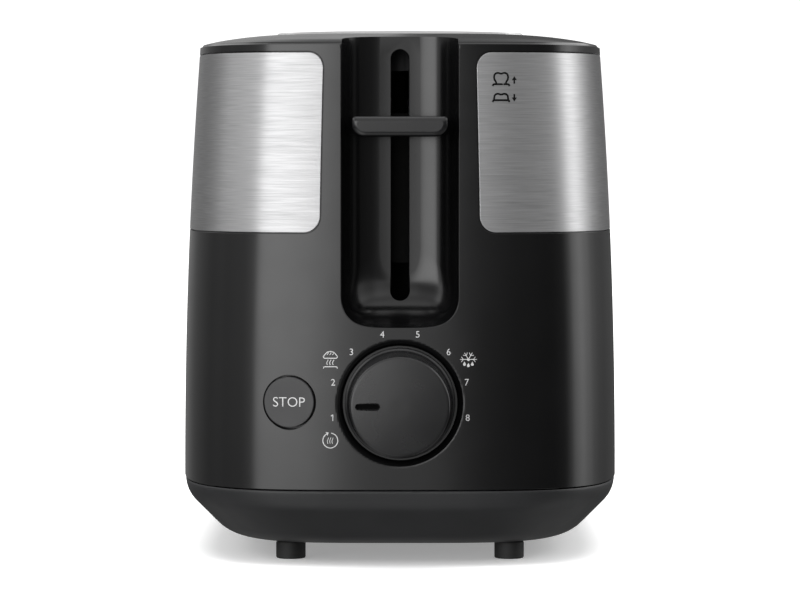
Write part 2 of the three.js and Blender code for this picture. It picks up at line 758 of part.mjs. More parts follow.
/** E-shaped iron core: a yoke with three legs. */
function magnetCore() {
  const { x, y, bottom, top, halfWidth, halfDepth } = MAGNET;
  const yoke = box(x - halfWidth, x + halfWidth, y - halfDepth, y + halfDepth, bottom, bottom + 4);
  const legs = [
    box(x - halfWidth, x - halfWidth + 3, y - halfDepth, y + halfDepth, bottom, top),
    box(x - 2, x + 2, y - halfDepth, y + halfDepth, bottom, top),
    box(x + halfWidth - 3, x + halfWidth, y - halfDepth, y + halfDepth, bottom, top),
  ];
  return join(yoke, ...legs);
}

function magnetCoil() {
  const { x, y, bottom, top, halfDepth } = MAGNET;
  const outline = roundedRectangle(x - 6, x + 6, y - halfDepth - 3.5, y + halfDepth + 3.5, 3);
  const winding = prismZ(outline, bottom + 4 + GAP, top - 1.2, 3);
  const hole = box(x - 2 - GAP, x + 2 + GAP, y - halfDepth - GAP, y + halfDepth + GAP, bottom, top);
  return winding.subtract(hole);
}

function armature() {
  const { x, y, halfWidth, halfDepth } = MAGNET;
  const top = CARRIAGE.bottom - GAP;
  return box(x - halfWidth, x + halfWidth, y - halfDepth, y + halfDepth, top - 3, top);
}

function contactBlock() {
  const bottom = LOWER_BRACKET_Z + 1.6 + GAP;
  const base = box(CONTACT_X - 9, CONTACT_X + 9, ROD.y - 8, ROD.y + 8, bottom, bottom + 8);
  return base.subtract(box(CONTACT_X - 1.5, CONTACT_X + 1.5, ROD.y - 9, ROD.y + 9, bottom + 4, bottom + 9));
}

function contactBlade(offset) {
  const bottom = LOWER_BRACKET_Z + 1.6 + 8 + 2 * GAP;
  const x = CONTACT_X + offset;
  const foot = box(x - 1.8, x + 1.8, ROD.y - 6, ROD.y + 6, bottom, bottom + 0.8);
  const leaf = box(x - 1.8, x + 1.8, ROD.y + 4, ROD.y + 6, bottom, bottom + 7);
  return join(foot, leaf, box(x - 1.8, x + 1.8, ROD.y - 5, ROD.y + 6, bottom + 6.2, bottom + 7));
}

function liftSpring() {
  const bottom = CARRIAGE.bottom + CARRIAGE.sheet + GAP;
  return postAt(SPRING.x, ROD.y, SPRING.radius, bottom, UPPER_BRACKET_Z - GAP);
}

// ---------------------------------------------------------------- electronics

function controlBoard() {
  const { y, halfWidth, bottom, top, thickness } = BOARD;
  const board = box(-halfWidth, halfWidth, y - thickness, y, bottom, top);
  const holes = [];
  for (const x of [-BOARD_SCREW.x, BOARD_SCREW.x]) {
    for (const z of [BOARD_SCREW.low, BOARD_SCREW.high]) {
      holes.push(pinAt(x, z, SCREW.radius + GAP, y - thickness - 1, y + 1, 8));
    }
  }
  return cut(board, ...holes);
}

function potentiometer() {
  const back = BOARD.y - BOARD.thickness - GAP;
  const body = box(-8, 8, back - 8.5, back, DIAL.z - 8, DIAL.z + 8);
  return body.add(pinAt(0, DIAL.z, 5, back - 10, back - 8));
}

function stopSwitch() {
  const back = BOARD.y - BOARD.thickness - GAP;
  const body = box(STOP.x - 5, STOP.x + 5, back - 5, back, STOP.z - 5, STOP.z + 5);
  return body.add(pinAt(STOP.x, STOP.z, 2, back - 6.6, back - 4));
}

// ---------------------------------------------------------------- materials

function finish(color, roughness, metalness) {
  return new THREE.MeshStandardMaterial({ color, roughness, metalness });
}

const finishes = {
  housing: () => finish(0x18181a, 0.28, 0),
  base: () => finish(0x2b2c2f, 0.45, 0),
  control: () => finish(0x1d1d1f, 0.35, 0),
  dial: () => finish(0x3a3b3d, 0.4, 0),
  brushedSteel: () => finish(0xb4b4b5, 0.38, 1),
  brightSteel: () => finish(0xd6d6d6, 0.22, 1),
  galvanised: () => finish(0x9a9c9e, 0.45, 1),
  pressedSteel: () => finish(0x6d6f72, 0.5, 1),
  wire: () => finish(0xb0b0b0, 0.3, 1),
  mica: () => finish(0xb59a6a, 0.6, 0),
  iron: () => finish(0x4b4c4f, 0.55, 1),
  copper: () => finish(0xb06a35, 0.35, 1),
  brass: () => finish(0xc9a24a, 0.3, 1),
  circuit: () => finish(0x23633d, 0.5, 0),
  blackenedSteel: () => finish(0x1a1a1b, 0.5, 0.3),
  component: () => finish(0x232323, 0.5, 0),
  rubber: () => finish(0x111112, 0.85, 0),
};

// ---------------------------------------------------------------- assembly

const toaster = new THREE.Group();

function place(parent, name, solid, material, position = [0, 0, 0], turn = 0) {
  const mesh = new THREE.Mesh(geometryOf(solid), finishes[material]());
  mesh.name = name;
  mesh.position.set(...position);
  mesh.rotation.z = turn;
  parent.add(mesh);
}

function addSkins(parent) {
  place(parent, 'outer_housing', outerHousing(), 'housing');
  place(parent, 'side_panel_left', sidePanel(-1), 'brushedSteel');
  place(parent, 'side_panel_right', sidePanel(1), 'brushedSteel');
  place(parent, 'top_plate', topPlate(), 'brightSteel');
  const inlet = endWallAt(INLET.x, INLET.z, 1);
  place(parent, 'cord_inlet', cordInlet(), 'rubber', [INLET.x, inlet.y, INLET.z], inlet.turn);
}

function addBase(parent) {
  place(parent, 'base_tray', baseTray(), 'base');
  place(parent, 'crumb_tray', crumbTray(), 'galvanised');
  place(parent, 'crumb_tray_grip', crumbTrayGrip(), 'base');
  for (const [sideName, sx] of [['left', -1], ['right', 1]]) {
    for (const [endName, sy] of [['front', -1], ['rear', 1]]) {
      const corner = `${endName}_${sideName}`;
      place(parent, `foot_${corner}`, footSolid(), 'rubber', [sx * FOOT.x, sy * FOOT.y, 0]);
      const screwSpot = [sx * POST.x, sy * POST.y, BASE_Z + 1.2];
      place(parent, `base_screw_${corner}`, screwSolid(42), 'galvanised', screwSpot);
    }
  }
}

function addControls(parent) {
  const dialFace = endWallAt(0, DIAL.z, -1).y;
  place(parent, 'browning_knob', browningKnob(), 'dial', [0, dialFace, DIAL.z], Math.PI);
  const stop = endWallAt(STOP.x, STOP.z, -1);
  place(parent, 'stop_button', stopButton(), 'control', [STOP.x, stop.y, STOP.z], stop.turn);
  place(parent, 'lever_knob', leverKnob(), 'control');
}

function addBreadChamber(parent) {
  place(parent, 'chassis_front_plate', chassisPlate(CHASSIS.front - CHASSIS.sheet, 4.5), 'galvanised');
  place(parent, 'chassis_rear_plate', chassisPlate(CHASSIS.back, 3), 'galvanised');
  place(parent, 'heater_board_centre', heaterBoard(0), 'mica');
  for (const [name, side] of [['left', -1], ['right', 1]]) {
    place(parent, `reflector_${name}`, reflector(side), 'galvanised');
    place(parent, `heater_board_${name}`, heaterBoard(side * HEATER.x), 'mica');
    place(parent, `bread_rack_${name}`, breadRack(), 'wire', [side * SLOT.x, 0, 0]);
    const inner = side * (SLOT.x - GUIDE.offset);
    const outer = side * (SLOT.x + GUIDE.offset);
    place(parent, `bread_guide_${name}_inner`, breadGuide(), 'wire', [inner, 0, GUIDE.pivotZ]);
    place(parent, `bread_guide_${name}_outer`, breadGuide(), 'wire', [outer, 0, GUIDE.pivotZ]);
  }
}

/** A screw that runs along Y, its head towards the front (-1) or the back (+1). */
function addLevelScrew(parent, name, length, x, y, z, headEnd) {
  const solid = screwSolid(length).rotate([headEnd * 90, 0, 0]);
  place(parent, name, solid, 'galvanised', [x, y, z]);
}

function addLiftMechanism(parent) {
  place(parent, 'carriage', carriage(), 'blackenedSteel');
  place(parent, 'armature', armature(), 'iron');
  const rod = postAt(0, ROD.y, ROD.radius, ROD.bottom, ROD.top);
  place(parent, 'guide_rod', rod, 'blackenedSteel');
  place(parent, 'guide_rod_nut', rodNut(), 'galvanised');
  place(parent, 'lift_spring', liftSpring(), 'brightSteel');
  place(parent, 'rod_bracket_upper', upperBracket(), 'pressedSteel');
  const lower = rodBracket(LOWER_BRACKET_Z, LOWER_BRACKET_Z, 32, -35, 32);
  place(parent, 'rod_bracket_lower', lower, 'pressedSteel');
  place(parent, 'magnet_core', magnetCore(), 'iron');
  place(parent, 'magnet_coil', magnetCoil(), 'copper');
  place(parent, 'contact_block', contactBlock(), 'component');
  place(parent, 'contact_blade_left', contactBlade(-5), 'brass');
  place(parent, 'contact_blade_right', contactBlade(5), 'brass');
}

function addElectronics(parent) {
  place(parent, 'control_board', controlBoard(), 'circuit');
  place(parent, 'potentiometer', potentiometer(), 'component');
  const shaftBack = BOARD.y - BOARD.thickness - 10 - 2 * GAP;
  place(parent, 'potentiometer_shaft', pinAt(0, DIAL.z, DIAL.shaft, -150, shaftBack), 'galvanised');
  place(parent, 'stop_switch', stopSwitch(), 'component');
  const headBack = BOARD.y + GAP + SCREW.headHeight;
  for (const [sideName, x] of [['left', -BOARD_SCREW.x], ['right', BOARD_SCREW.x]]) {
    for (const [levelName, z] of [['lower', BOARD_SCREW.low], ['upper', BOARD_SCREW.high]]) {
      addLevelScrew(parent, `board_screw_${levelName}_${sideName}`, 10, x, headBack, z, 1);
    }
  }
}

addSkins(toaster);
addBase(toaster);
addControls(toaster);
addBreadChamber(toaster);
addLiftMechanism(toaster);
addElectronics(toaster);

const bounds = new THREE.Box3().setFromObject(toaster);
toaster.position.y = -(bounds.min.y + bounds.max.y) / 2;

export default toaster;
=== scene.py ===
"""Looks of the two-slot pop up toaster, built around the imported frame.

Lengths below are millimetres in the housing's own frame (housing centred on y = 0), and
build() turns them into metres in the part's frame.
"""

import math
from contextlib import contextmanager

import bmesh
import bpy
import numpy as np
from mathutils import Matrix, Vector


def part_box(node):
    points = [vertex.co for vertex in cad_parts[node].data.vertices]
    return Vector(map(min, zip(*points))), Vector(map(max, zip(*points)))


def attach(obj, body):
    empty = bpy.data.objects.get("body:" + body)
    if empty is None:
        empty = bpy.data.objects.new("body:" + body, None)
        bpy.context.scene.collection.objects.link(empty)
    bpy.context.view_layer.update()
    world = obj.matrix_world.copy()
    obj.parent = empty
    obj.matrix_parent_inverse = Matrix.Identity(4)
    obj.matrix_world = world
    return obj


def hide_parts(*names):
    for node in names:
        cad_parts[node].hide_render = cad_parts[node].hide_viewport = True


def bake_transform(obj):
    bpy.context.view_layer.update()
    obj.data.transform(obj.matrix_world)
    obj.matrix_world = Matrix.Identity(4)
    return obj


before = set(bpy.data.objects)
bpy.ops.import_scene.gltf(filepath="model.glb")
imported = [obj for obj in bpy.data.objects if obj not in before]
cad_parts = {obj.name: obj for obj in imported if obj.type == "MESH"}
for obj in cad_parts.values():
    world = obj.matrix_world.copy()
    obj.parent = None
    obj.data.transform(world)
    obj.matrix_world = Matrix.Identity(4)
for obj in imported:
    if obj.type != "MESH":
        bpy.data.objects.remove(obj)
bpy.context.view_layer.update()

MM = 0.001
HOUSING_LOW, HOUSING_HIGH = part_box("outer_housing")
SHIFT_Y = (HOUSING_LOW.y + HOUSING_HIGH.y) / 2

# ---- driving dimensions

PLAN_POWER = 4.2
HALF_WIDTH, HALF_LENGTH = 84.2, 140.0
SIDE_DRAFT, END_DRAFT = 6.2, 2.5
WALL = 2.6
SEAM_Z = 28.5
SHOULDER_Z, SHOULDER_RADIUS = 192.6, 1.2
DOME_RIM_Z, DOME_HEIGHT = 194.0, 5.4
DIAL_Z, DIAL_REACH, DIAL_FACE, DIAL_CROWN = 60.8, 20.0, 17.4, 0.5
DISH_INNER, DISH_OUTER, DISH_DEPTH = 20.7, 23.8, 3.0
STOP_X, STOP_Z, STOP_RADIUS, STOP_HOLE = -41.0, 61.2, 9.45, 10.05
STOP_FACE, STOP_EDGE = 0.25, 0.35
INLET_X, INLET_Z = 55.0, 46.0
RECESS_HALF, RECESS_DEPTH, RECESS_BOTTOM, RECESS_SCOOP, RECESS_ROUND = 21.5, 22.0, 88.9, 19.0, 14.0
LEVER_SLOT_HALF, LEVER_SLOT_BOTTOM, LEVER_SLOT_TOP = 3.2, 98.5, 191.6
LEVER_Z, LEVER_HALF, LEVER_HALF_HEIGHT, LEVER_FRONT, LEVER_BACK = 163.0, 17.75, 3.75, -141.0, -126.0
SLOT_X, SLOT_HALF, SLOT_FRONT, SLOT_BACK = 22.0, 15.0, -60.0, 76.0
PLATE_SEAT, PLATE_EDGE, PLATE_TOP = 197.5, 199, 201.2
PLATE_CROWN, CROWN_HALF_WIDTH, CROWN_HALF_LENGTH, CROWN_Y = 2.2, 54, 98, 8
PANEL_INNER, PANEL_BOTTOM, PANEL_TOP, PANEL_RADIUS = 29.3, 123.6, 190.7, 6.3
BASE_FLOOR, BASE_WALL, BASE_SLOPE = 7.0, 2.4, math.radians(44)
POST_X, POST_Y, POST_RADIUS, POST_LOW, POST_HIGH = 51, 94, 5, 28.8, 64
SCREW_BORE, HEAD_BORE, FOOT_BORE = 1.7, 3.4, 3.3
BOSS_X, BOSS_HEIGHTS, BOSS_RADIUS, BOSS_END = 46, (41, 80), 3.5, -122.8
FOOT_X, FOOT_Y = 41.3, 104
RAIL_X, REST_X = 44.7, 29.5
TRAY_HALF, TRAY_DOOR_LOW, TRAY_DOOR_HIGH, TRAY_GRIP_FRONT, TRAY_GAP = 46.4, 12.1, 22.1, 126.4, 0.4
GUIDE_OFFSET, GUIDE_PIVOT_Z, GUIDE_TOP_Z = 12, 40, 159.2
RACK_Z = 99.2
SPRING_X, SPRING_Y, SPRING_RADIUS, SPRING_LOW, SPRING_HIGH, SPRING_TURNS = -14, -90, 2.6, 95.4, 185.2, 26
BOARD_X, BOARD_FRONT, BOARD_BACK = 42, -65.9, 81.9
BEYOND = 230  # past the object in every direction
UP, FORWARD, BACKWARD = (0, 0, 1), (0, -1, 0), (0, 1, 0)
SIDES = ((-1, "left"), (1, "right"))
CORNERS = [(sx, sy) for sx in (-1, 1) for sy in (-1, 1)]

# ---- mesh helpers


def link(obj):
    bpy.context.scene.collection.objects.link(obj)
    return obj


def build(name, points, faces):
    """A mesh object from housing-frame millimetres."""
    points = np.asarray(points, float)
    metres = (points + np.array([0, SHIFT_Y / MM, 0])) * MM
    mesh = bpy.data.meshes.new(name)
    mesh.from_pydata(metres.tolist(), [], [list(map(int, f)) for f in faces])
    mesh.update()
    return link(bpy.data.objects.new(name, mesh))


@contextmanager
def editing(mesh):
    work = bmesh.new()
    work.from_mesh(mesh)
    yield work
    work.to_mesh(mesh)
    work.free()


def outward(obj):
    """Points every face of a closed mesh outwards."""
    with editing(obj.data) as work:
        bmesh.ops.recalc_face_normals(work, faces=work.faces)
    return obj


def band(low, high):
    """Faces between two closed loops of vertex numbers."""
    n = len(low)
    return [[low[i], low[(i + 1) % n], high[(i + 1) % n], high[i]] for i in range(n)]


def loft(name, loops):
    """A closed skin over loops of points that all have one length."""
    n = len(loops[0])
    faces = []
    for k in range(len(loops) - 1):
        faces += band(range(k * n, (k + 1) * n), range((k + 1) * n, (k + 2) * n))
    faces.append(list(range(n))[::-1])
    faces.append([(len(loops) - 1) * n + i for i in range(n)])
    return outward(build(name, np.vstack([np.asarray(loop, float) for loop in loops]), faces))


def at_level(x, y, z):
    """Points in one level plane."""
    return np.stack([x, y, np.full(len(x), z)], 1)


def lathe(name, profile, at, axis, segments=96):
    """A solid turned about axis through at; each profile point is (radius, distance along axis)."""
    axis = Vector(axis).normalized()
    side = axis.cross(Vector(UP))
    side = side.normalized() if side.length > 0.1 else Vector((1, 0, 0))
    up = side.cross(axis)
    return loft(name, [circle(Vector(at) + axis * along, side, up, r, segments) for r, along in profile])


def circle(centre, side, up, radius, segments):
    turns = np.linspace(0, 2 * math.pi, segments, endpoint=False)
    return [centre + side * (radius * math.cos(t)) + up * (radius * math.sin(t)) for t in turns]


def modify(obj, kind, **values):
    modifier = obj.modifiers.new(kind.lower(), kind)
    for key, value in values.items():
        setattr(modifier, key, value)


def bake(obj):
    """Applies the modifiers to the mesh."""
    graph = bpy.context.evaluated_depsgraph_get()
    mesh = bpy.data.meshes.new_from_object(obj.evaluated_get(graph))
    obj.modifiers.clear()
    obj.data = mesh
    mesh.name = obj.name


def boolean(target, tool, operation="DIFFERENCE"):
    """Joins or cuts two closed meshes and removes the tool."""
    modify(target, "BOOLEAN", operation=operation, object=tool, solver="MANIFOLD")
    bake(target)
    bpy.data.objects.remove(tool)


def smooth(obj, degrees=32):
    """Smooth shading, with every edge sharper than this angle kept crisp."""
    with editing(obj.data) as work:
        for edge in work.edges:
            edge.smooth = len(edge.link_faces) == 2 and edge.calc_face_angle(0) < math.radians(degrees)
        for face in work.faces:
            face.smooth = True
    obj.data.update()


def crisp(obj, degrees=35):
    """Smooth shading in which the large faces keep their own direction."""
    smooth(obj, degrees)
    modify(obj, "WEIGHTED_NORMAL", weight=100, keep_sharp=True)


def round_edges(obj, width, degrees):
    angle = math.radians(degrees)
    modify(obj, "BEVEL", width=width * MM, segments=2, limit_method="ANGLE", angle_limit=angle)


def finish_piece(obj, body, material, replaces=()):
    obj.data.materials.clear()
    obj.data.materials.append(material)
    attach(obj, body)
    if replaces:
        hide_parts(*replaces)


# ---- outer form


def lean(z):
    return ((np.asarray(z, float) - SEAM_Z) / (SHOULDER_Z - SEAM_Z)) ** 2


def half_sizes(z):
    """Half width and half length of the wall at height z, up to the shoulder."""
    z = np.minimum(z, SHOULDER_Z)
    return HALF_WIDTH - SIDE_DRAFT * lean(z), HALF_LENGTH - END_DRAFT * lean(z)


def dish_depth(x, z):
    """How far the front wall sinks around the dial."""
    r = np.hypot(x, np.asarray(z) - DIAL_Z)
    s = np.clip((r - DISH_INNER) / (DISH_OUTER - DISH_INNER), 0, 1)
    return DISH_DEPTH * (1 - s) ** 2.2


def front_y(x, z, with_dish=False):
    """The front wall's y at x and z."""
    a, b = half_sizes(z)
    share = np.minimum(np.abs(x) / a, 0.9999)
    y = -b * (1 - share**PLAN_POWER) ** (1 / PLAN_POWER)
    return y + dish_depth(x, z) if with_dish else y


def wall_normals(points):
    """The outer wall's outward normals at points on it (housing frame, millimetres)."""
    x, y, z = points.T
    a, b = half_sizes(z)
    rate = 2 * (z - SEAM_Z) / (SHOULDER_Z - SEAM_Z) ** 2
    u, v = np.abs(x) / a, np.abs(y) / b
    nx = np.sign(x) * u ** (PLAN_POWER - 1) / a
    ny = np.sign(y) * v ** (PLAN_POWER - 1) / b
    nz = u**PLAN_POWER / a * SIDE_DRAFT * rate + v**PLAN_POWER / b * END_DRAFT * rate
    normal = np.stack([nx, ny, nz], 1)
    normal /= np.linalg.norm(normal, axis=1, keepdims=True)
    near = (y < 0) & (np.hypot(x, z - DIAL_Z) < DISH_OUTER + 0.5)
    step = 0.02
    dx = (front_y(x + step, z, True) - front_y(x - step, z, True)) / (2 * step)
    dz = (front_y(x, z + step, True) - front_y(x, z - step, True)) / (2 * step)
    dished = np.stack([dx, -np.ones_like(dx), dz], 1)
    dished /= np.linalg.norm(dished, axis=1, keepdims=True)
    return np.where(near[:, None], dished, normal)


def read(items, key, width=3, kind=np.float32):
    """One attribute of every item of a mesh collection, as an array."""
    values = np.zeros(len(items) * width, kind)
    items.foreach_get(key, values)
    return values.reshape(-1, width) if width > 1 else values


def wall_shading(obj, degrees=32):
    """Smooth shading that takes the outer wall's own normals wherever the mesh lies on it."""
    smooth(obj, degrees)
    mesh = obj.data
    corner = read(mesh.corner_normals, "vector").astype(float)
    vertex = read(mesh.loops, "vertex_index", 1, np.int32)
    points = read(mesh.vertices, "co")[vertex].astype(float) / MM - np.array([0, SHIFT_Y / MM, 0])
    sizes = read(mesh.polygons, "loop_total", 1, np.int32)
    facing = np.repeat(read(mesh.polygons, "normal"), sizes, axis=0)
    exact = wall_normals(points)
    a, b = half_sizes(points[:, 2])
    sunk = np.where(points[:, 1] < 0, dish_depth(points[:, 0], points[:, 2]), 0)
    u = np.abs(points[:, 0]) / a
    v = np.abs(points[:, 1] - sunk) / b
    on_wall = np.abs((u**PLAN_POWER + v**PLAN_POWER) ** (1 / PLAN_POWER) - 1) * a < 0.06
    dished = (points[:, 1] < 0) & (np.hypot(points[:, 0], points[:, 2] - DIAL_Z) < DISH_OUTER + 1)
    on_wall &= (points[:, 2] < SHOULDER_Z - 0.2) & ((facing * exact).sum(1) > np.where(dished, 0.7, 0.94))
    corner[on_wall] = exact[on_wall]
    mesh.normals_split_custom_set(corner.tolist())


def unit_ring():
    """Points round the unit superellipse, close together in the front middle, where the dial is."""
    middle = np.arange(-0.36, 0.3601, 0.009)
    front = [(u, -((1 - abs(u) ** PLAN_POWER) ** (1 / PLAN_POWER))) for u in middle]
    dense = np.linspace(0, 2 * math.pi, 40001)
    px = np.sign(np.sin(dense)) * np.abs(np.sin(dense)) ** (2 / PLAN_POWER)
    py = -np.sign(np.cos(dense)) * np.abs(np.cos(dense)) ** (2 / PLAN_POWER)
    length = np.concatenate([[0], np.cumsum(np.hypot(np.diff(px) * HALF_WIDTH, np.diff(py) * HALF_LENGTH))])
    start = np.interp(middle[-1], px[:8000], length[:8000])
    total = length[-1]
    marks = np.linspace(start, total - start, 231)[1:-1]
    rest = [(np.interp(m, length, px), np.interp(m, length, py)) for m in marks]
    return np.array(front + rest)


RING = unit_ring()


def housing_levels(inset=0.0, bottom=SEAM_Z + 0.15, drop=0.0, fine=True):
    """(half width, half length, z) of each level of the housing's outside, lowest first."""
    levels, edge = [], 0.45
    step = 0.75 if fine else 8
    zs = [bottom + edge]
    while zs[-1] < SHOULDER_Z - 1.2 * step:
        in_dish = DIAL_Z - DISH_OUTER - 1 - 4 * step < zs[-1] < DIAL_Z + DISH_OUTER + 0.5
        zs.append(zs[-1] + (step if in_dish or not fine else 4 * step))
    zs.append(SHOULDER_Z)
    if fine:
        a, b = half_sizes(bottom)
        for turn in np.radians((0, 30, 60)):
            back = edge * (1 - math.sin(turn)) + inset
            levels.append((a - back, b - back, bottom + edge * (1 - math.cos(turn))))
    else:
        zs[0] = bottom
    for z in zs:
        a, b = half_sizes(z)
        levels.append((a - inset, b - inset, z - (drop if z == SHOULDER_Z else 0)))
    a, b = half_sizes(SHOULDER_Z)
    for angle in np.radians(range(10, 71, 10)):
        back = SHOULDER_RADIUS * (1 - math.cos(angle)) + inset
        levels.append((a - back, b - back, SHOULDER_Z + SHOULDER_RADIUS * math.sin(angle) - drop))
    for share in (0.985, 0.965, 0.94, 0.92, 0.89, 0.85, 0.8, 0.74, 0.67, 0.6, 0.5, 0.35, 0.15):
        back = a * (1 - share)
        blend = min(1, max(0, (back - 2) / 10))
        stretch = 1 + (b / a - 1) * blend * blend * (3 - 2 * blend)
        z = DOME_RIM_Z + DOME_HEIGHT * (1 - share**PLAN_POWER) - drop
        levels.append((a - back - inset, b - back * stretch - inset, z))
    return levels


def housing_solid(name, levels, dished):
    loops = []
    for a, b, z in levels:
        x, y = RING[:, 0] * a, RING[:, 1] * b
        if dished and z < SHOULDER_Z:
            y = y + np.where(y < 0, dish_depth(x, z), 0)
        loops.append(at_level(x, y, z))
    return loft(name, loops)


# ---- cutters and skins


def recess_section(depth, grow):
    """One outline of the lever recess in x and z, depth millimetres behind the wall, open at the top."""
    back_radius, scoop, corner = RECESS_ROUND, RECESS_SCOOP, 12.1
    half, floor = RECESS_HALF, RECESS_BOTTOM
    deep = min(max(0, depth - (RECESS_DEPTH - back_radius)), back_radius)
    half -= back_radius - math.sqrt(back_radius**2 - deep**2)
    rise = min(max(0, depth - (RECESS_DEPTH - scoop)), scoop)
    floor += scoop - math.sqrt(scoop**2 - rise**2)
    centre = floor + corner
    half, low = half + grow, corner + grow
    top = PLATE_TOP + 12
    heights = [top, 205, 198, 194, 191.5, 189, 184, 176, 166, 154, 142, 130, 120, 112, 106]
    sides = [z for z in heights if z > centre + 1.5]
    sides += [sides[-1]] * (len(heights) - len(sides))
    points = [(-half, z) for z in sides]
    for t in np.linspace(0, math.pi, 61):
        c, s = math.cos(math.pi - t), math.sin(t)
        x = math.copysign(abs(c) ** (2 / PLAN_POWER), c) * half
        points.append((x, centre - abs(s) ** (2 / 2.3) * low))
    points += [(half, z) for z in sides[::-1]]
    points += [(half * f, top) for f in (0.5, 0, -0.5)]
    return np.array(points)


def recess_cutter():
    """The lever recess: a rounded mouth edge, straight sides, a rounded back and a scooped floor."""
    edge = 0.8
    turns = np.radians([14, 24, 36, 50, 66, 90])
    sections = [(-9, 1.35), (-0.2, 1.35)]
    sections += [(edge * (1 - math.cos(t)), edge * (1 - math.sin(t))) for t in turns]
    sections += [(depth, 0) for depth in (2, 3, 4, 5, 6, 7)]
    sections += [(8 + RECESS_ROUND * math.sin(t), 0) for t in np.linspace(0, math.pi / 2, 19)]
    loops = []
    for depth, grow in sections:
        x, z = recess_section(depth, grow).T
        settle = min(1, max(0, (depth - 1) / 5))
        settle = settle * settle * (3 - 2 * settle)
        y = (1 - settle) * front_y(x, z) - settle * HALF_LENGTH + depth
        loops.append(np.stack([x, y, z], 1))
    return loft("recess_cutter", loops)


def recess_liner():
    """What the recess's walls take up inside the housing."""
    grow = 2.4
    turns = np.linspace(0.2, math.pi / 2, 8)
    depths = [-9, 0, 4, 8] + [8 + (RECESS_ROUND + grow) * math.sin(t) for t in turns]
    loops = []
    for depth in depths:
        x, z = recess_section(min(depth, RECESS_DEPTH), grow).T
        loops.append(np.stack([x, np.full(len(x), depth - HALF_LENGTH), z], 1))
    return loft("recess_liner", loops)


def arc(radius, start, end, steps=24, centre=(0, 0)):
    angles = np.radians(np.linspace(start, end, steps))
    return [(centre[0] + radius * math.cos(t), centre[1] + radius * math.sin(t)) for t in angles]


def rounded_outline(half_x, half_z, radius, steps=8, centre=(0, 0)):
    points = []
    for cx, cz, start in ((1, -1, -90), (1, 1, 0), (-1, 1, 90), (-1, -1, 180)):
        middle = (centre[0] + cx * (half_x - radius), centre[1] + cz * (half_z - radius))
        points += arc(radius, start, start + 90, steps, middle)
    return np.array(points)


def prism_y(name, outlines):
    """A skin over (outline in x and z, y) pairs."""
    return loft(name, [np.stack([o[:, 0], np.full(len(o), y), o[:, 1]], 1) for o, y in outlines])


def prism_z(name, outlines):
    """A skin over (outline in x and y, z) pairs."""
    return loft(name, [at_level(*o.T, z) for o, z in outlines])


def lever_slot_cutter():
    half_height, middle = (LEVER_SLOT_TOP - LEVER_SLOT_BOTTOM) / 2, (LEVER_SLOT_TOP + LEVER_SLOT_BOTTOM) / 2
    back = RECESS_DEPTH - HALF_LENGTH
    outlines = []
    for y, grow in ((back - 14, 0.5), (back - 0.12, 0.5), (back + 0.32, 0), (back + 8, 0)):
        half = LEVER_SLOT_HALF + grow
        outlines.append((rounded_outline(half, half_height + grow, half - 0.001, 14, (0, middle)), y))
    return prism_y("lever_slot_cutter", outlines)


def wall_frame(x, z, end=-1):
    """A point on the front (-1) or rear (1) wall at x and z, and the outward normal there in plan."""
    y = -end * front_y(x, z)
    normal = wall_normals(np.array([[x, y, z]]))[0]
    flat = Vector((normal[0], normal[1], 0)).normalized()
    return Vector((x, y, z)), flat


def plate_outline(grow, steps=14):
    """The top plate's plan: bowed at the front, with rounded corners."""
    half, front, back, radius, bulge = 47.5 + grow, -80 - grow, 96 + grow, 16 + grow, 3.0
    points = [(u * (half - radius), front - bulge * (1 - u * u)) for u in np.linspace(-1, 1, 25)[:-1]]
    low, high = front + radius, back - radius
    for cx, cy, start in ((1, low, -90), (1, high, 0), (-1, high, 90), (-1, low, 180)):
        points += arc(radius, start, start + 90, steps, (cx * (half - radius), cy))
    return np.array(points[:-1])


def wrap_table():
    """Distance along the wall's plan from the front middle, round the right side, to the back middle."""
    t = np.linspace(0, math.pi, 20001)
    u = np.abs(np.sin(t)) ** (2 / PLAN_POWER)
    v = -np.sign(np.cos(t)) * np.abs(np.cos(t)) ** (2 / PLAN_POWER)
    length = np.concatenate([[0], np.cumsum(np.hypot(np.diff(u) * HALF_WIDTH, np.diff(v) * HALF_LENGTH))])
    return length, u, v


WRAP = wrap_table()


def wrap_at(x, z=PANEL_BOTTOM):
    """Distance along the plan at which the front wall reaches x."""
    length, u, v = WRAP
    half = len(u) // 2
    return float(np.interp(x / half_sizes(z)[0], u[:half], length[:half]))


def wrap_point(side, along, z, depth):
    """A point at this distance along the plan and height z, depth below the surface."""
    length, u, v = WRAP
    a, b = half_sizes(z)
    x = side * np.interp(along, length, u) * a
    y = np.interp(along, length, v) * b
    points = np.stack(np.broadcast_arrays(x, y, z), -1)
    return points - wall_normals(points.reshape(-1, 3)).reshape(points.shape) * depth


def panel_grid(side, margin, depth, columns, rows):
    """A grid over the steel panel's window, shrunk by margin and depth below the surface."""
    total = WRAP[0][-1]
    start = wrap_at(PANEL_INNER) + margin
    end = total - start
    bottom, top, radius = PANEL_BOTTOM + margin, PANEL_TOP - margin, PANEL_RADIUS - margin
    rounding = radius * (1 - np.cos(np.linspace(0, math.pi / 2, 9)))
    middle = np.linspace(start + radius, end - radius, columns)[1:-1]
    along = np.concatenate([start + rounding, middle, end - rounding[::-1]])
    grid = []
    for s in along:
        reach = min(radius, s - start, end - s)
        lift = radius - math.sqrt(max(0, radius**2 - (radius - reach) ** 2))
        z = np.linspace(bottom + lift, top - lift, rows)
        grid.append(wrap_point(side, np.full(rows, s), z, depth))
    return np.array(grid)


def rim_of(grid):
    """The grid's outline as one closed loop."""
    return np.vstack([grid[:, 0], grid[-1, 1:-1], grid[::-1, -1], grid[0, -2:0:-1]])


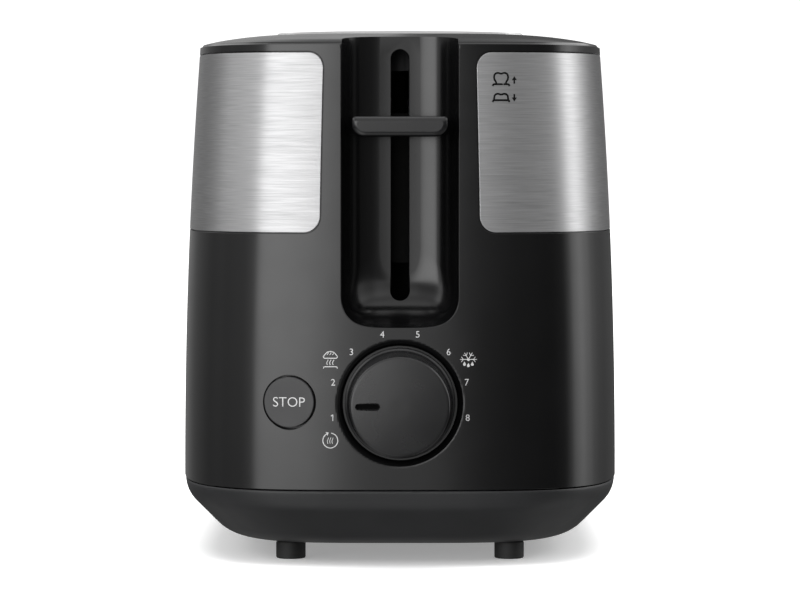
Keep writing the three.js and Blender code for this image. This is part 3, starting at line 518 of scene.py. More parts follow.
def panel_solid(name, side, layers, columns=150, rows=24):
    """A closed skin: a grid at the first and the last (margin, depth) layer, outlines between them."""
    grids = [panel_grid(side, m, d, columns, rows) for m, d in layers]
    first, last = grids[0], grids[-1]
    n, m = first.shape[:2]
    points = [first.reshape(-1, 3), last.reshape(-1, 3)]
    starts = [base + i * m + j for base in (0, n * m) for i in range(n - 1) for j in range(m - 1)]
    faces = [[k, k + 1, k + m + 1, k + m] for k in starts]
    rims = [list(rim_of(np.arange(n * m).reshape(n, m)[:, :, None])[:, 0])]
    count, length = 2 * n * m, len(rims[0])
    for grid in grids[1:-1]:
        points.append(rim_of(grid))
        rims.append(range(count, count + length))
        count += length
    rims.append([i + n * m for i in rims[0]])
    for low, high in zip(rims, rims[1:]):
        faces += band(low, high)
    return outward(build(name, np.vstack(points), faces))


# ---- materials


class Nodes:
    """Shader nodes of one tree."""

    def __init__(self, tree):
        self.tree = tree

    def node(self, kind, **values):
        made = self.tree.nodes.new(kind)
        for key, value in values.items():
            setattr(made, key, value)
        return made

    def wire(self, source, target):
        self.tree.links.new(source, target)

    def put(self, node, values):
        for key, value in values.items():
            node.inputs[key].default_value = value

    def ramp(self, value, stops):
        """A curve through (position, brightness) stops, positions from 0 to 1."""
        node = self.node("ShaderNodeValToRGB")
        node.color_ramp.interpolation = "EASE"
        elements = node.color_ramp.elements
        elements.remove(elements[-1])
        elements[0].position = stops[0][0]
        for position, _ in stops[1:]:
            elements.new(position)
        for element, (_, level) in zip(elements, stops):
            element.color = (level,) * 3 + (1,)
        self.wire(value, node.inputs["Fac"])
        return node.outputs["Color"]

    def arithmetic(self, operation, *values):
        node = self.node("ShaderNodeMath", operation=operation)
        for socket, value in zip(node.inputs, values):
            if isinstance(value, (int, float)):
                socket.default_value = value
            else:
                self.wire(value, socket)
        return node.outputs[0]


class Paint(Nodes):
    """A procedural material under construction."""

    def __init__(self, name):
        self.material = bpy.data.materials.new(name)
        self.material.use_nodes = True
        super().__init__(self.material.node_tree)
        self.shader = self.tree.nodes["Principled BSDF"]
        self.coords = self.node("ShaderNodeTexCoord").outputs["Object"]

    def noise(self, per_metre, detail=3.0, stretch=(1, 1, 1)):
        """Noise from 0 to 1 with about this many features a metre along each axis."""
        mapping = self.node("ShaderNodeMapping")
        self.put(mapping, {"Scale": [per_metre * s for s in stretch]})
        self.wire(self.coords, mapping.inputs["Vector"])
        texture = self.node("ShaderNodeTexNoise")
        self.put(texture, {"Scale": 1.0, "Detail": detail})
        self.wire(mapping.outputs["Vector"], texture.inputs["Vector"])
        return texture.outputs["Fac"]

    def spread(self, value, low, high, source=(0.3, 0.7)):
        """Maps noise to a range of numbers."""
        node = self.node("ShaderNodeMapRange")
        self.put(node, {"From Min": source[0], "From Max": source[1], "To Min": low, "To Max": high})
        self.wire(value, node.inputs["Value"])
        return node.outputs["Result"]

    def colour(self, dark, light, value):
        node = self.node("ShaderNodeMix", data_type="RGBA")
        self.put(node, {"A": (*dark, 1), "B": (*light, 1)})
        self.wire(self.spread(value, 0, 1), node.inputs["Factor"])
        self.wire(node.outputs["Result"], self.shader.inputs["Base Color"])

    def roughness(self, low, high, value):
        self.wire(self.spread(value, low, high), self.shader.inputs["Roughness"])

    def bump(self, value, strength, millimetres):
        node = self.node("ShaderNodeBump")
        self.put(node, {"Strength": strength, "Distance": millimetres * MM})
        self.wire(value, node.inputs["Height"])
        self.wire(node.outputs["Normal"], self.shader.inputs["Normal"])


def plastic(name, dark, light, rough, texture=2600, strength=0.06, depth=0.02, gloss=0.5):
    """Moulded plastic: a faint cloudiness, uneven gloss and a fine moulded texture."""
    paint = Paint(name)
    paint.colour(dark, light, paint.noise(28, 4))
    paint.roughness(rough[0], rough[1], paint.noise(70, 5))
    paint.bump(paint.noise(texture, 2), strength, depth)
    paint.put(paint.shader, {"Specular IOR Level": gloss})
    return paint.material


def metal(name, dark, light, rough, stretch=(1, 1, 1), per_metre=600, strength=0.15, depth=0.01, turned=None):
    """Metal with grain; stretch is the grain's fineness along X, Y and Z."""
    paint = Paint(name)
    grain = paint.noise(per_metre, 5, stretch)
    paint.colour(dark, light, grain)
    paint.roughness(rough[0], rough[1], paint.noise(per_metre * 0.6, 3, stretch))
    paint.bump(grain, strength, depth)
    paint.put(paint.shader, {"Metallic": 1.0})
    if turned:
        tangent = paint.node("ShaderNodeTangent", direction_type="RADIAL", axis=turned)
        paint.wire(tangent.outputs["Tangent"], paint.shader.inputs["Tangent"])
        paint.put(paint.shader, {"Anisotropic": 0.75, "Anisotropic Rotation": 0.25})
    return paint.material


HOUSING = plastic(
    "housing_plastic", (0.0026, 0.0026, 0.0028), (0.0042, 0.0042, 0.0045), (0.16, 0.2), 1400, 0.02, 0.01
)
BASE = plastic("base_plastic", (0.017, 0.0175, 0.0185), (0.024, 0.0245, 0.026), (0.42, 0.5), 3200, 0.16, 0.03)
CONTROL = plastic(
    "control_plastic", (0.008, 0.008, 0.0085), (0.011, 0.011, 0.0115), (0.22, 0.28), 2600, 0.03, 0.01
)
BUTTON = plastic(
    "button_plastic", (0.014, 0.014, 0.0148), (0.018, 0.018, 0.019), (0.3, 0.36), 2800, 0.06, 0.02
)
DIAL = plastic("dial_plastic", (0.009, 0.009, 0.0095), (0.013, 0.013, 0.0135), (0.23, 0.3), 3200, 0.05, 0.01)
RUBBER = plastic("foot_rubber", (0.006, 0.006, 0.006), (0.012, 0.012, 0.012), (0.6, 0.75), 1800, 0.2, 0.04)
COMPONENT = plastic(
    "component_plastic", (0.014, 0.014, 0.014), (0.026, 0.026, 0.026), (0.35, 0.5), 2200, 0.15, 0.03
)
BRUSHED = metal(
    "brushed_steel", (0.42, 0.42, 0.425), (0.56, 0.56, 0.565), (0.34, 0.42), (0.02, 0.02, 1), 4200, 0.05, 0.004,
    turned="Z",
)
BRIGHT = metal(
    "bright_steel", (0.4, 0.4, 0.4), (0.5, 0.5, 0.5), (0.28, 0.38), (1, 0.02, 1), 2600, 0.08, 0.005
)
GALVANISED = metal(
    "galvanised_sheet", (0.3, 0.305, 0.31), (0.38, 0.385, 0.39), (0.36, 0.48), (1, 1, 1), 420, 0.06, 0.01
)
PRESSED = metal(
    "pressed_steel", (0.2, 0.205, 0.21), (0.3, 0.305, 0.31), (0.38, 0.52), (1, 1, 0.1), 900, 0.15, 0.02
)
WIRE = metal("plated_wire", (0.5, 0.5, 0.5), (0.68, 0.68, 0.68), (0.18, 0.3), (1, 1, 1), 900, 0.1, 0.01)
# Painted shade: a near-black colour standing for the shade inside the housing. It goes on the guide rod and
# carriage seen through the lever slot, and on the dial's pointer groove floor.
PAINTED_SHADE_BLACK = plastic(
    "blackened_steel", (0.0012, 0.0012, 0.0012), (0.003, 0.003, 0.003), (0.6, 0.75), 1500, 0.1, 0.02, 0.06
)
# Painted shade: the upper rod bracket, seen through the lever slot, is coloured near black for the shade inside
# the housing.
PAINTED_SHADE_BRACKET = metal(
    "rod_bracket_painted_shade", (0.02, 0.02, 0.021), (0.035, 0.035, 0.036), (0.5, 0.6), (1, 1, 0.1), 900, 0.15, 0.02
)
IRON = metal("bare_iron", (0.1, 0.1, 0.105), (0.17, 0.165, 0.16), (0.45, 0.65), (1, 1, 1), 700, 0.25, 0.03)
COPPER = metal(
    "copper_winding", (0.42, 0.17, 0.06), (0.62, 0.29, 0.12), (0.25, 0.4), (1, 1, 6), 400, 0.4, 0.05
)
BRASS = metal("spring_brass", (0.5, 0.36, 0.12), (0.66, 0.5, 0.2), (0.22, 0.35), (1, 1, 1), 800, 0.1, 0.01)
LIGHT_INK = plastic("light_ink", (0.72, 0.72, 0.72), (0.84, 0.84, 0.84), (0.45, 0.6), 3000, 0.1, 0.01)
DARK_INK = plastic(
    "dark_ink", (0.002, 0.002, 0.002), (0.004, 0.004, 0.004), (0.5, 0.6), 3000, 0.1, 0.01, 0.15
)
RIBBON = metal(
    "nichrome_ribbon", (0.3, 0.27, 0.24), (0.45, 0.41, 0.37), (0.3, 0.45), (1, 1, 1), 500, 0.1, 0.01
)
MICA = plastic("mica_board", (0.3, 0.22, 0.11), (0.52, 0.42, 0.25), (0.45, 0.65), 260, 0.3, 0.05)
CIRCUIT = plastic("circuit_board", (0.012, 0.07, 0.03), (0.03, 0.13, 0.055), (0.3, 0.42), 500, 0.1, 0.02)


# ---- studio


CAMERA_LENS, CAMERA_DISTANCE, CAMERA_HEIGHT, CAMERA_DROP = 183.15, 1.63, 0.158, 2.25
FULL = 4.0
# Brightness seen at each bearing round the object, in degrees to the left of the view from the front.
BEARINGS = [
    (-180, 0.01), (-165, 0.015), (-150, 0.025), (-139, 0.05), (-129, 0.11), (-119, 0.26), (-106, 0.5),
    (-96, 0.44), (-87, 0.15), (-79, 0.03), (-60, 0.013), (-27, 0.025), (-13, 0.045), (-6, 0.065),
    (-2.5, 0.1), (0, 0.22), (2.5, 0.52), (6, 0.76), (15, 0.92), (30, 0.98), (44, 0.96), (49, 0.8),
    (54, 0.22), (70, 0.13), (100, 0.085), (125, 0.04), (150, 0.035), (168, 0.055), (180, 0.1),
]
# The same for light that comes from higher up, which only the brushed steel spreads down to the eye.
HIGH_BEARINGS = [
    (-180, 0.05), (-165, 0.3), (-150, 0.8), (-131, 1.0), (-105, 1.0), (-90, 0.8), (-76, 0.4), (-60, 0.35),
    (-30, 0.22), (-12, 0.36), (0, 0.3), (15, 0.15), (35, 0.15), (46, 0.2), (54, 0.5), (63, 0.65),
    (90, 0.65), (115, 0.75), (135, 0.5), (165, 0.4), (174, 0.2), (180, 0.05),
]


# Brightness against height, from straight down at 0 to straight up at 1: middle, high and low boxes, top.
WINDOWS = [
    [(0.39, 0), (0.46, 0.72), (0.5, 1), (0.6, 1), (0.66, 0)],
    [(0.58, 0), (0.65, 0.6), (0.84, 0.6), (0.93, 0)],
    [(0, 0.1), (0.015, 0.15), (0.05, 1), (0.2, 1), (0.36, 0.1), (0.42, 0)],
    [(0.0, 0.01), (0.7, 0.015), (0.86, 0.12), (1, 0.34)],
]


def make_world():
    """Soft boxes round the object as a function of direction; plain white for the camera."""
    world = bpy.data.worlds.new("studio")
    bpy.context.scene.world = world
    world.use_nodes = True
    world.node_tree.nodes.clear()
    sky = Nodes(world.node_tree)
    parts = sky.node("ShaderNodeSeparateXYZ")
    sky.wire(sky.node("ShaderNodeTexCoord").outputs["Generated"], parts.inputs[0])
    x, y, z = parts.outputs

    def times(a, b):
        return sky.arithmetic("MULTIPLY", a, b)

    def plus(a, b):
        return sky.arithmetic("ADD", a, b)

    def background(strength):
        node = sky.node("ShaderNodeBackground")
        sky.put(node, {"Color": (1, 1, 1, 1), "Strength": strength})
        return node

    bearing = sky.arithmetic("ARCTAN2", times(x, -1.0), times(y, -1.0))
    turn = plus(sky.arithmetic("DIVIDE", bearing, 2 * math.pi), 0.5)
    height = plus(times(z, 0.5), 0.5)
    around, high_around = [
        sky.ramp(turn, [((b + 180) / 360, v) for b, v in stops]) for stops in (BEARINGS, HIGH_BEARINGS)
    ]
    middle_window, high_window, low_window, top = [sky.ramp(height, stops) for stops in WINDOWS]
    glow = plus(times(around, middle_window), times(high_around, high_window))
    glow = plus(glow, times(plus(times(around, 0.26), 0.055), low_window))
    glow = times(plus(glow, top), FULL)
    lit, white = background(1), background(1.2)
    sky.wire(glow, lit.inputs["Strength"])
    mix = sky.node("ShaderNodeMixShader")
    sky.wire(sky.node("ShaderNodeLightPath").outputs["Is Camera Ray"], mix.inputs["Fac"])
    sky.wire(lit.outputs[0], mix.inputs[1])
    sky.wire(white.outputs[0], mix.inputs[2])
    sky.wire(mix.outputs[0], sky.node("ShaderNodeOutputWorld").inputs["Surface"])


def make_overhead_box():
    data = bpy.data.lights.new("overhead_box", "AREA")
    data.shape = "RECTANGLE"
    data.size = data.size_y = 1.6
    data.energy = 26
    lamp = link(bpy.data.objects.new("overhead_box", data))
    lamp.location = (0, 0, 1.5)
    lamp.visible_camera = False
    lamp.visible_glossy = False


def make_floor():
    mesh = bpy.data.meshes.new("floor")
    mesh.from_pydata([(-6, -6, 0), (6, -6, 0), (6, 6, 0), (-6, 6, 0)], [], [(0, 1, 2, 3)])
    floor = link(bpy.data.objects.new("floor", mesh))
    paint = Paint("floor_paper")
    paint.colour((0.9, 0.9, 0.9), (0.92, 0.92, 0.92), paint.noise(3))
    paint.put(paint.shader, {"Roughness": 0.9, "Specular IOR Level": 0.0})
    paint.put(paint.shader, {"Emission Color": (1, 1, 1, 1), "Emission Strength": 0.28})
    mesh.materials.append(paint.material)
    floor.visible_glossy = False
    floor.visible_diffuse = False


def make_studio():
    scene = bpy.context.scene
    scene.view_settings.view_transform = "Standard"
    data = bpy.data.cameras.new("camera")
    camera = link(bpy.data.objects.new("camera", data))
    scene.camera = camera
    data.lens, data.sensor_width = CAMERA_LENS, 36
    camera.location = (0, -CAMERA_DISTANCE, CAMERA_HEIGHT)
    camera.rotation_euler = (math.radians(90 - CAMERA_DROP), 0, 0)
    make_world()
    make_floor()
    make_overhead_box()


make_studio()


# ---- housing


def at_corners(target, x, y, radius, low, high, segments=32, operation="DIFFERENCE"):
    """Cuts or joins an upright cylinder at each of the four corners."""
    for sx, sy in CORNERS:
        cylinder = lathe("cylinder", [(radius, low), (radius, high)], (sx * x, sy * y, 0), UP, segments)
        boolean(target, cylinder, operation)


def make_housing():
    outer = housing_solid("outer_housing_skin", housing_levels(), True)
    inner = housing_solid("inside", housing_levels(WALL, SEAM_Z - 5, 4.4, fine=False), False)
    boolean(inner, recess_liner())
    dial_spot = (0, float(front_y(0, DIAL_Z)), DIAL_Z)
    bosses = [(sx * BOSS_X, 0, z) for sx, _ in SIDES for z in BOSS_HEIGHTS]
    boolean(inner, lathe("dish_back", [(27, -9), (27, DISH_DEPTH + 2.6)], dial_spot, BACKWARD, 64))
    at_corners(inner, POST_X, POST_Y, POST_RADIUS, POST_LOW, POST_HIGH)
    for spot in bosses:
        boolean(inner, lathe("boss", [(BOSS_RADIUS, -150), (BOSS_RADIUS, BOSS_END)], spot, BACKWARD, 24))
    boolean(outer, inner)
    boolean(outer, recess_cutter())
    boolean(outer, lever_slot_cutter())
    boolean(outer, lathe("dish_floor", [(21.2, -2), (21.2, DISH_DEPTH + 0.2)], dial_spot, BACKWARD, 160))
    boolean(outer, lathe("shaft_bore", [(4, -12), (4, 12)], dial_spot, BACKWARD, 32))
    spot, normal = wall_frame(STOP_X, STOP_Z)
    flare = [(0, -9), (0, -0.25), (0.08, -0.08), (0.28, 0.02), (1.5, 0.9)]
    bore = [(STOP_HOLE + grow, along) for grow, along in flare]
    boolean(outer, lathe("stop_bore", bore, spot, normal, 128))
    spot, normal = wall_frame(INLET_X, INLET_Z, 1)
    boolean(outer, lathe("inlet_bore", [(5.7, -12), (5.7, 12)], spot, normal, 48))
    for side in (-1, 1):
        pocket = [(-0.28, -2.5), (-0.28, -0.03), (-0.1, 0.06), (0, 0.24), (0, 1.15)]
        boolean(outer, panel_solid("pocket", side, pocket))
    for name, grow, low in (("seat", 0.4, PLATE_SEAT), ("well", -3.5, PLATE_SEAT - 20)):
        boolean(outer, prism_z(name, [(plate_outline(grow), low), (plate_outline(grow), BEYOND)]))
    at_corners(outer, POST_X, POST_Y, SCREW_BORE, BASE_FLOOR, POST_HIGH - 6, 16)
    for spot in bosses:
        boolean(outer, lathe("boss_hole", [(SCREW_BORE, -131), (SCREW_BORE, -121)], spot, BACKWARD, 16))
    wall_shading(outer)
    finish_piece(outer, "root", HOUSING, ["outer_housing"])


def make_panels():
    layers = [(0.35, 0.8), (0.35, 0.14), (0.39, 0.04), (0.5, 0.0)]
    for side, name in SIDES:
        panel = panel_solid(f"steel_panel_{name}", side, layers)
        wall_shading(panel, 20)
        finish_piece(panel, "root", BRUSHED, [f"side_panel_{name}"])


# ---- base, plate and feet


def base_profile(wall, steps=9):
    """(inset, z) points of the base's outline from the seam down: fillet, slope, fillet."""
    edge, top_radius, bottom_radius = 0.3, 12.0, 14.0
    sine, cosine = math.sin(BASE_SLOPE), math.cos(BASE_SLOPE)
    seam = SEAM_Z - 0.15
    drop = seam - BASE_FLOOR - top_radius * sine - bottom_radius * (1 - sine)
    upper = edge + top_radius
    lower = upper - top_radius * cosine + drop / cosine * sine + bottom_radius * cosine
    points = []
    for start, end, x, z, radius in (
        (0, BASE_SLOPE, upper, seam, top_radius - wall),
        (BASE_SLOPE, math.pi / 2, lower, BASE_FLOOR + bottom_radius, bottom_radius - wall),
    ):
        turns = np.linspace(start, end, steps)
        points += [(x - radius * math.cos(t), z - radius * math.sin(t)) for t in turns]
    return points


def inset_ring(inset, z, skip):
    """The seam's plan, inset; skip thins its points."""
    x, y = RING[::skip].T
    return at_level(x * (HALF_WIDTH - inset), y * (HALF_LENGTH - inset), z)


def base_solid(name, wall=0.0, top=None):
    profile = base_profile(wall)[::-1]
    if top is None:
        inset, seam = profile.pop()
        profile += [(inset + back, seam - drop) for back, drop in ((0.02, 0.5), (0.15, 0.15), (0.5, 0))]
    else:
        profile.append((profile[-1][0], top))
    return loft(name, [inset_ring(inset, z, 2) for inset, z in profile])


def upright_ring(name, inset, low, high):
    return loft(name, [inset_ring(inset, z, 3) for z in (low, high)])


def block(name, x0, x1, y0, y1, z0, z1):
    corners = [(x0, y0), (x1, y0), (x1, y1), (x0, y1)]
    return loft(name, [[(x, y, z) for x, y in corners] for z in (z0, z1)])


def make_base():
    tray = base_solid("base_shell")
    boolean(tray, base_solid("base_inside", BASE_WALL, 34))
    for name, inset, low, high in (("ledge", 1.2, 25.5, 28), ("lip", 3.1, 27, 33)):
        ring = upright_ring(name, inset, low, high)
        boolean(ring, upright_ring("inside", 4.7, 7, 34))
        boolean(tray, ring, "UNION")
    low = BASE_FLOOR + 1.9
    for sx in (-1, 1):
        rail, rest = sx * RAIL_X, sx * REST_X
        boolean(tray, block("rail", rail - 0.8, rail + 0.8, -62, 88, low, 22.6), "UNION")
        boolean(tray, block("rest", rest - 1, rest + 1, -60, 112, low, 12.6), "UNION")
    at_corners(tray, POST_X, POST_Y, POST_RADIUS, BASE_FLOOR + 1, SEAM_Z - 0.15, operation="UNION")
    at_corners(tray, POST_X, POST_Y, SCREW_BORE, BASE_FLOOR - 1, SEAM_Z + 1.5, 16)
    at_corners(tray, POST_X, POST_Y, HEAD_BORE, BASE_FLOOR - 1, BASE_FLOOR + 4)
    at_corners(tray, FOOT_X, FOOT_Y, FOOT_BORE, BASE_FLOOR - 1, BASE_FLOOR + 3.4)
    boolean(tray, block("door", -TRAY_HALF, TRAY_HALF, 114, BEYOND, TRAY_DOOR_LOW, TRAY_DOOR_HIGH))
    crisp(tray, 30)
    finish_piece(tray, "root", BASE, ["base_tray"])

    grip = base_solid("tray_grip")
    half, low, high = TRAY_HALF - TRAY_GAP, TRAY_DOOR_LOW + 0.3, TRAY_DOOR_HIGH - 0.3
    boolean(grip, block("grip_block", -half, half, TRAY_GRIP_FRONT, BEYOND, low, high), "INTERSECT")
    notch = rounded_outline(16, 2.6, 2.5, 10, (0, 13.2))
    boolean(grip, prism_y("grip_notch", [(notch, TRAY_GRIP_FRONT + 2.2), (notch, BEYOND)]))
    round_edges(grip, 0.35, 32)
    bake(grip)
    crisp(grip, 50)
    finish_piece(grip, "crumb_tray", BASE, ["crumb_tray_grip"])


def slot_outline(x, grow):
    half_y, middle = (SLOT_BACK - SLOT_FRONT) / 2, (SLOT_BACK + SLOT_FRONT) / 2
    return rounded_outline(SLOT_HALF + grow, half_y + grow, 6 + grow, 8, (x, middle))


def crown(obj):
    """Cuts the plate's top into small facets and bends it down from its middle to its edges."""
    with editing(obj.data) as work:
        bmesh.ops.triangulate(work, faces=work.faces)
        for axis, low, high, step in ((0, -44, 44, 4), (1, -76, 92, 8)):
            facing = Vector((axis == 0, axis == 1, 0))
            for along in range(low, high + 1, step):
                point = Vector((0, SHIFT_Y, 0)) + facing * (along * MM)
                everything = work.verts[:] + work.edges[:] + work.faces[:]
                bmesh.ops.bisect_plane(work, geom=everything, dist=1e-6, plane_co=point, plane_no=facing)
        for vert in work.verts:
            if vert.co.z > PLATE_EDGE * MM:
                u = abs(vert.co.x / MM) / CROWN_HALF_WIDTH
                v = abs((vert.co.y - SHIFT_Y) / MM - CROWN_Y) / CROWN_HALF_LENGTH
                share = (u**PLAN_POWER + v**PLAN_POWER) ** (1 / PLAN_POWER)
                vert.co.z -= PLATE_CROWN * share**2 * MM


def make_plate():
    """Pressed steel plate with a rolled outer edge and slots turned down inside."""
    low, roll = PLATE_SEAT + 0.3, 1.1
    skin = [(plate_outline(0), low)]
    inside = [(plate_outline(-0.9), low - 1)]
    for t in np.linspace(0, math.pi / 2, 7):
        back, up = 1 - math.cos(t), math.sin(t)
        skin.append((plate_outline(-roll * back), PLATE_TOP - roll * (1 - up)))
        inside.append((plate_outline(-0.9 - 0.4 * back), PLATE_TOP - 1.3 + 0.4 * up))
    plate = prism_z("top_plate_skin", skin)
    boolean(plate, prism_z("plate_inside", inside))
    for x in (-SLOT_X, SLOT_X):
        sleeve = [(slot_outline(x, 0.9), 186), (slot_outline(x, 0.9), PLATE_TOP - 0.2)]
        boolean(plate, prism_z("sleeve", sleeve), "UNION")
    for x in (-SLOT_X, SLOT_X):
        throat = [(slot_outline(x, 0), 184), (slot_outline(x, 0), PLATE_TOP - roll)]
        for t in np.radians([18, 36, 54, 72, 86]):
            throat.append((slot_outline(x, roll * (1 - math.cos(t))), PLATE_TOP - roll + roll * math.sin(t)))
        throat.append((slot_outline(x, 1.25), PLATE_TOP + 0.4))
        boolean(plate, prism_z("throat", throat))
    crown(plate)
    crisp(plate, 38)
    finish_piece(plate, "root", BRIGHT, ["top_plate"])


def make_feet():
    profile = [(4.9, 0), (5.35, 0.15), (5.6, 0.6), (5.6, 5.9), (5.3, 6.5), (4.6, 6.7), (3, 6.7), (3, 10.9)]
    for sx, side in SIDES:
        for sy, end in ((-1, "front"), (1, "rear")):
            foot = lathe(f"rubber_foot_{end}_{side}", profile, (sx * FOOT_X, sy * FOOT_Y, 0), UP, 56)
            crisp(foot, 40)
            finish_piece(foot, "root", RUBBER, [f"foot_{end}_{side}"])


# ---- controls


def make_dial():
    """Hollow cap: a flared skirt in the dish, a drum with a soft edge, and a pointer groove."""
    face = float(front_y(0, DIAL_Z))
    at = (0, face, DIAL_Z)
    profile = [(16.4, 2.4), (16.4, -2.7), (20.0, -2.7), (20.4, -2.4), (20.4, -0.95), (20.25, -0.55)]
    profile += [(19.9, -0.3), (19.6, -0.1), (19.2, 0.5), (18.95, 1.4), (18.85, 3), (18.65, 8), (18.45, 14)]
    profile.append((18.36, DIAL_REACH - 1.3))
    for t in np.radians([15, 30, 45, 60, 75, 90]):
        profile.append((DIAL_FACE + 0.96 * math.cos(t), DIAL_REACH - 1.0 + math.sin(t)))
    for radius in (17.2, 15, 12.5, 10, 7.5, 5, 2.5):
        profile.append((radius, DIAL_REACH + DIAL_CROWN * (1 - (radius / DIAL_FACE) ** 2)))
    knob = lathe("browning_dial", profile, at, FORWARD, 160)
    boolean(knob, lathe("drum_hollow", [(15.9, -4), (15.9, DIAL_REACH - 2.2)], at, FORWARD, 96))
    boolean(knob, lathe("hub", [(5.7, -2.7), (5.7, DIAL_REACH - 1.5)], at, FORWARD, 48), "UNION")
    boolean(knob, lathe("hub_bore", [(3.3, -4), (3.3, 10.4)], at, FORWARD, 40))

    def pointer(grow, sink):
        outline = rounded_outline(4.45 + grow, 1.15 + grow, 1.149 + grow, 12, (-11.95, DIAL_Z))
        return outline, face - DIAL_REACH + sink

    groove = [(0.3, -0.9), (0.24, -0.3), (0.04, -0.05), (0, 0.1), (0, 1.2), (-0.15, 1.4)]
    boolean(knob, prism_y("pointer_groove", [pointer(grow, sink) for grow, sink in groove]))
    crisp(knob, 22)
    finish_piece(knob, "dial", DIAL, ["browning_knob"])
    # Painted shade: a black sheet on the pointer groove's floor darkens the groove the way its shade would.
    floor = prism_y("pointer_groove_painted_shade", [pointer(-0.2, 1.3), pointer(-0.2, 1.45)])
    crisp(floor)
    finish_piece(floor, "dial", PAINTED_SHADE_BLACK)


def make_stop_button():
    spot, normal = wall_frame(STOP_X, STOP_Z)
    profile = [(11, -6), (11, -4.7), (10.9, -4.6), (STOP_RADIUS, -4.6), (STOP_RADIUS, STOP_FACE - STOP_EDGE)]
    for t in np.radians([20, 40, 60, 80, 90]):
        back, drop = STOP_EDGE * (1 - math.cos(t)), STOP_EDGE * (1 - math.sin(t))
        profile.append((STOP_RADIUS - back, STOP_FACE - drop))
    button = lathe("stop_push", profile, spot, normal, 144)
    crisp(button, 35)
    finish_piece(button, "stop_button", BUTTON, ["stop_button"])


def make_lever_knob():
    """Flat finger bar: full plan, softened edges, round lower corners, hollow for the stem."""

    def outline(inset):
        half, high = LEVER_HALF - inset, LEVER_HALF_HEIGHT - inset
        upper = 1.3 - inset * 0.3
        lower = min(4.7 - inset * 0.5, 2 * high - upper - 0.1)
        points = []
        for side, up, radius, start, steps in (
            (-1, -1, lower, 180, 10), (1, -1, lower, 270, 10), (1, 1, upper, 0, 7), (-1, 1, upper, 90, 7),
        ):
            middle = (side * (half - radius), LEVER_Z + up * (high - radius))
            points += arc(radius, start, start + 90, steps, middle)
        return np.array(points)

    sections = []
    for t in np.radians([0, 12, 24, 36, 48, 60, 72, 90]):
        sections.append((outline(2.0 * (1 - math.sin(t))), LEVER_FRONT + 1.7 * (1 - math.cos(t))))
    sections += [(outline(0), LEVER_FRONT + 7), (outline(0), LEVER_BACK - 0.9)]
    for t in np.radians([30, 60, 90]):
        sections.append((outline(0.6 * (1 - math.cos(t))), LEVER_BACK - 0.6 + 0.6 * math.sin(t)))
    knob = prism_y("lever_grip", sections)
    stem = block("stem_hollow", -1.8, 1.8, LEVER_FRONT + 9.6, LEVER_BACK + 1, LEVER_Z - 2.9, LEVER_Z + 2.9)
    boolean(knob, stem)
    crisp(knob, 40)
    finish_piece(knob, "carriage", CONTROL, ["lever_knob"])


# ---- wires, ribbons and the cord inlet


def wire(name, path, radius=0.8, sides=12):
    """A round wire along a path."""
    path = [Vector(p) for p in path]
    loops = []
    for k, point in enumerate(path):
        along = (path[min(k + 1, len(path) - 1)] - path[max(k - 1, 0)]).normalized()
        side = along.cross(Vector((1, 0, 0)) if abs(along.x) < 0.9 else Vector(UP)).normalized()
        loops.append(circle(point, side, side.cross(along), radius, sides))
    return loft(name, loops)


def make_guides():
    """Wire guards beside the bread: a pivot rod, a top rod and seven upright wires."""
    low, high = GUIDE_PIVOT_Z, GUIDE_TOP_Z
    for sx, side in SIDES:
        for place, offset in (("inner", -GUIDE_OFFSET), ("outer", GUIDE_OFFSET)):
            x = sx * (SLOT_X + offset)
            guard = wire(f"wire_guard_{side}_{place}", [(x, -64.8, low), (x, 80.8, low)])
            boolean(guard, wire("top_rod", [(x, -58, high), (x, 74, high)]), "UNION")
            for k in range(7):
                y = -57.2 + k * 21.73
                boolean(guard, wire("upright", [(x, y, z) for z in (low, 50, 150, high)], 0.7), "UNION")
            smooth(guard, 50)
            finish_piece(guard, f"bread_guide_{side}_{place}", WIRE, [f"bread_guide_{side}_{place}"])


def make_racks():
    """Bread racks: two rails with cross wires between a flat front arm and a rear tail."""
    sag = [(-6.8, 0), (-3, 0.3), (3, 0.3), (6.8, 0)]
    for sx, side in SIDES:
        x = sx * SLOT_X
        rack = block("bread_carrier_" + side, x - 2, x + 2, -70.4, -53, 96, 100)
        boolean(rack, block("tail", x - 1.2, x + 1.2, 69, 86, 97, 100), "UNION")
        for rail in (x - 6.2, x + 6.2):
            boolean(rack, wire("rail", [(rail, -57, RACK_Z), (rail, 73, RACK_Z)]), "UNION")
        for k in range(8):
            y = -56.2 + k * 18.34
            path = [(x + across, y, RACK_Z - dip) for across, dip in sag]
            boolean(rack, wire("cross_wire", path, 0.75), "UNION")
        smooth(rack, 50)
        finish_piece(rack, "carriage", WIRE, [f"bread_rack_{side}"])


def make_spring():
    """Helical lift spring with flat end coils, between the carriage and the upper bracket."""
    path = []
    for t in np.linspace(0, SPRING_TURNS, SPRING_TURNS * 20 + 1):
        x = SPRING_X + SPRING_RADIUS * math.cos(2 * math.pi * t)
        y = SPRING_Y + SPRING_RADIUS * math.sin(2 * math.pi * t)
        risen = min(1, max(0, (t - 1) / (SPRING_TURNS - 2)))
        path.append((x, y, SPRING_LOW + (SPRING_HIGH - SPRING_LOW) * risen))
    spring = wire("lift_coil", path, 0.38, 8)
    smooth(spring, 60)
    spring.data.materials.append(BRIGHT)
    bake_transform(spring)
    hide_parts("lift_spring")


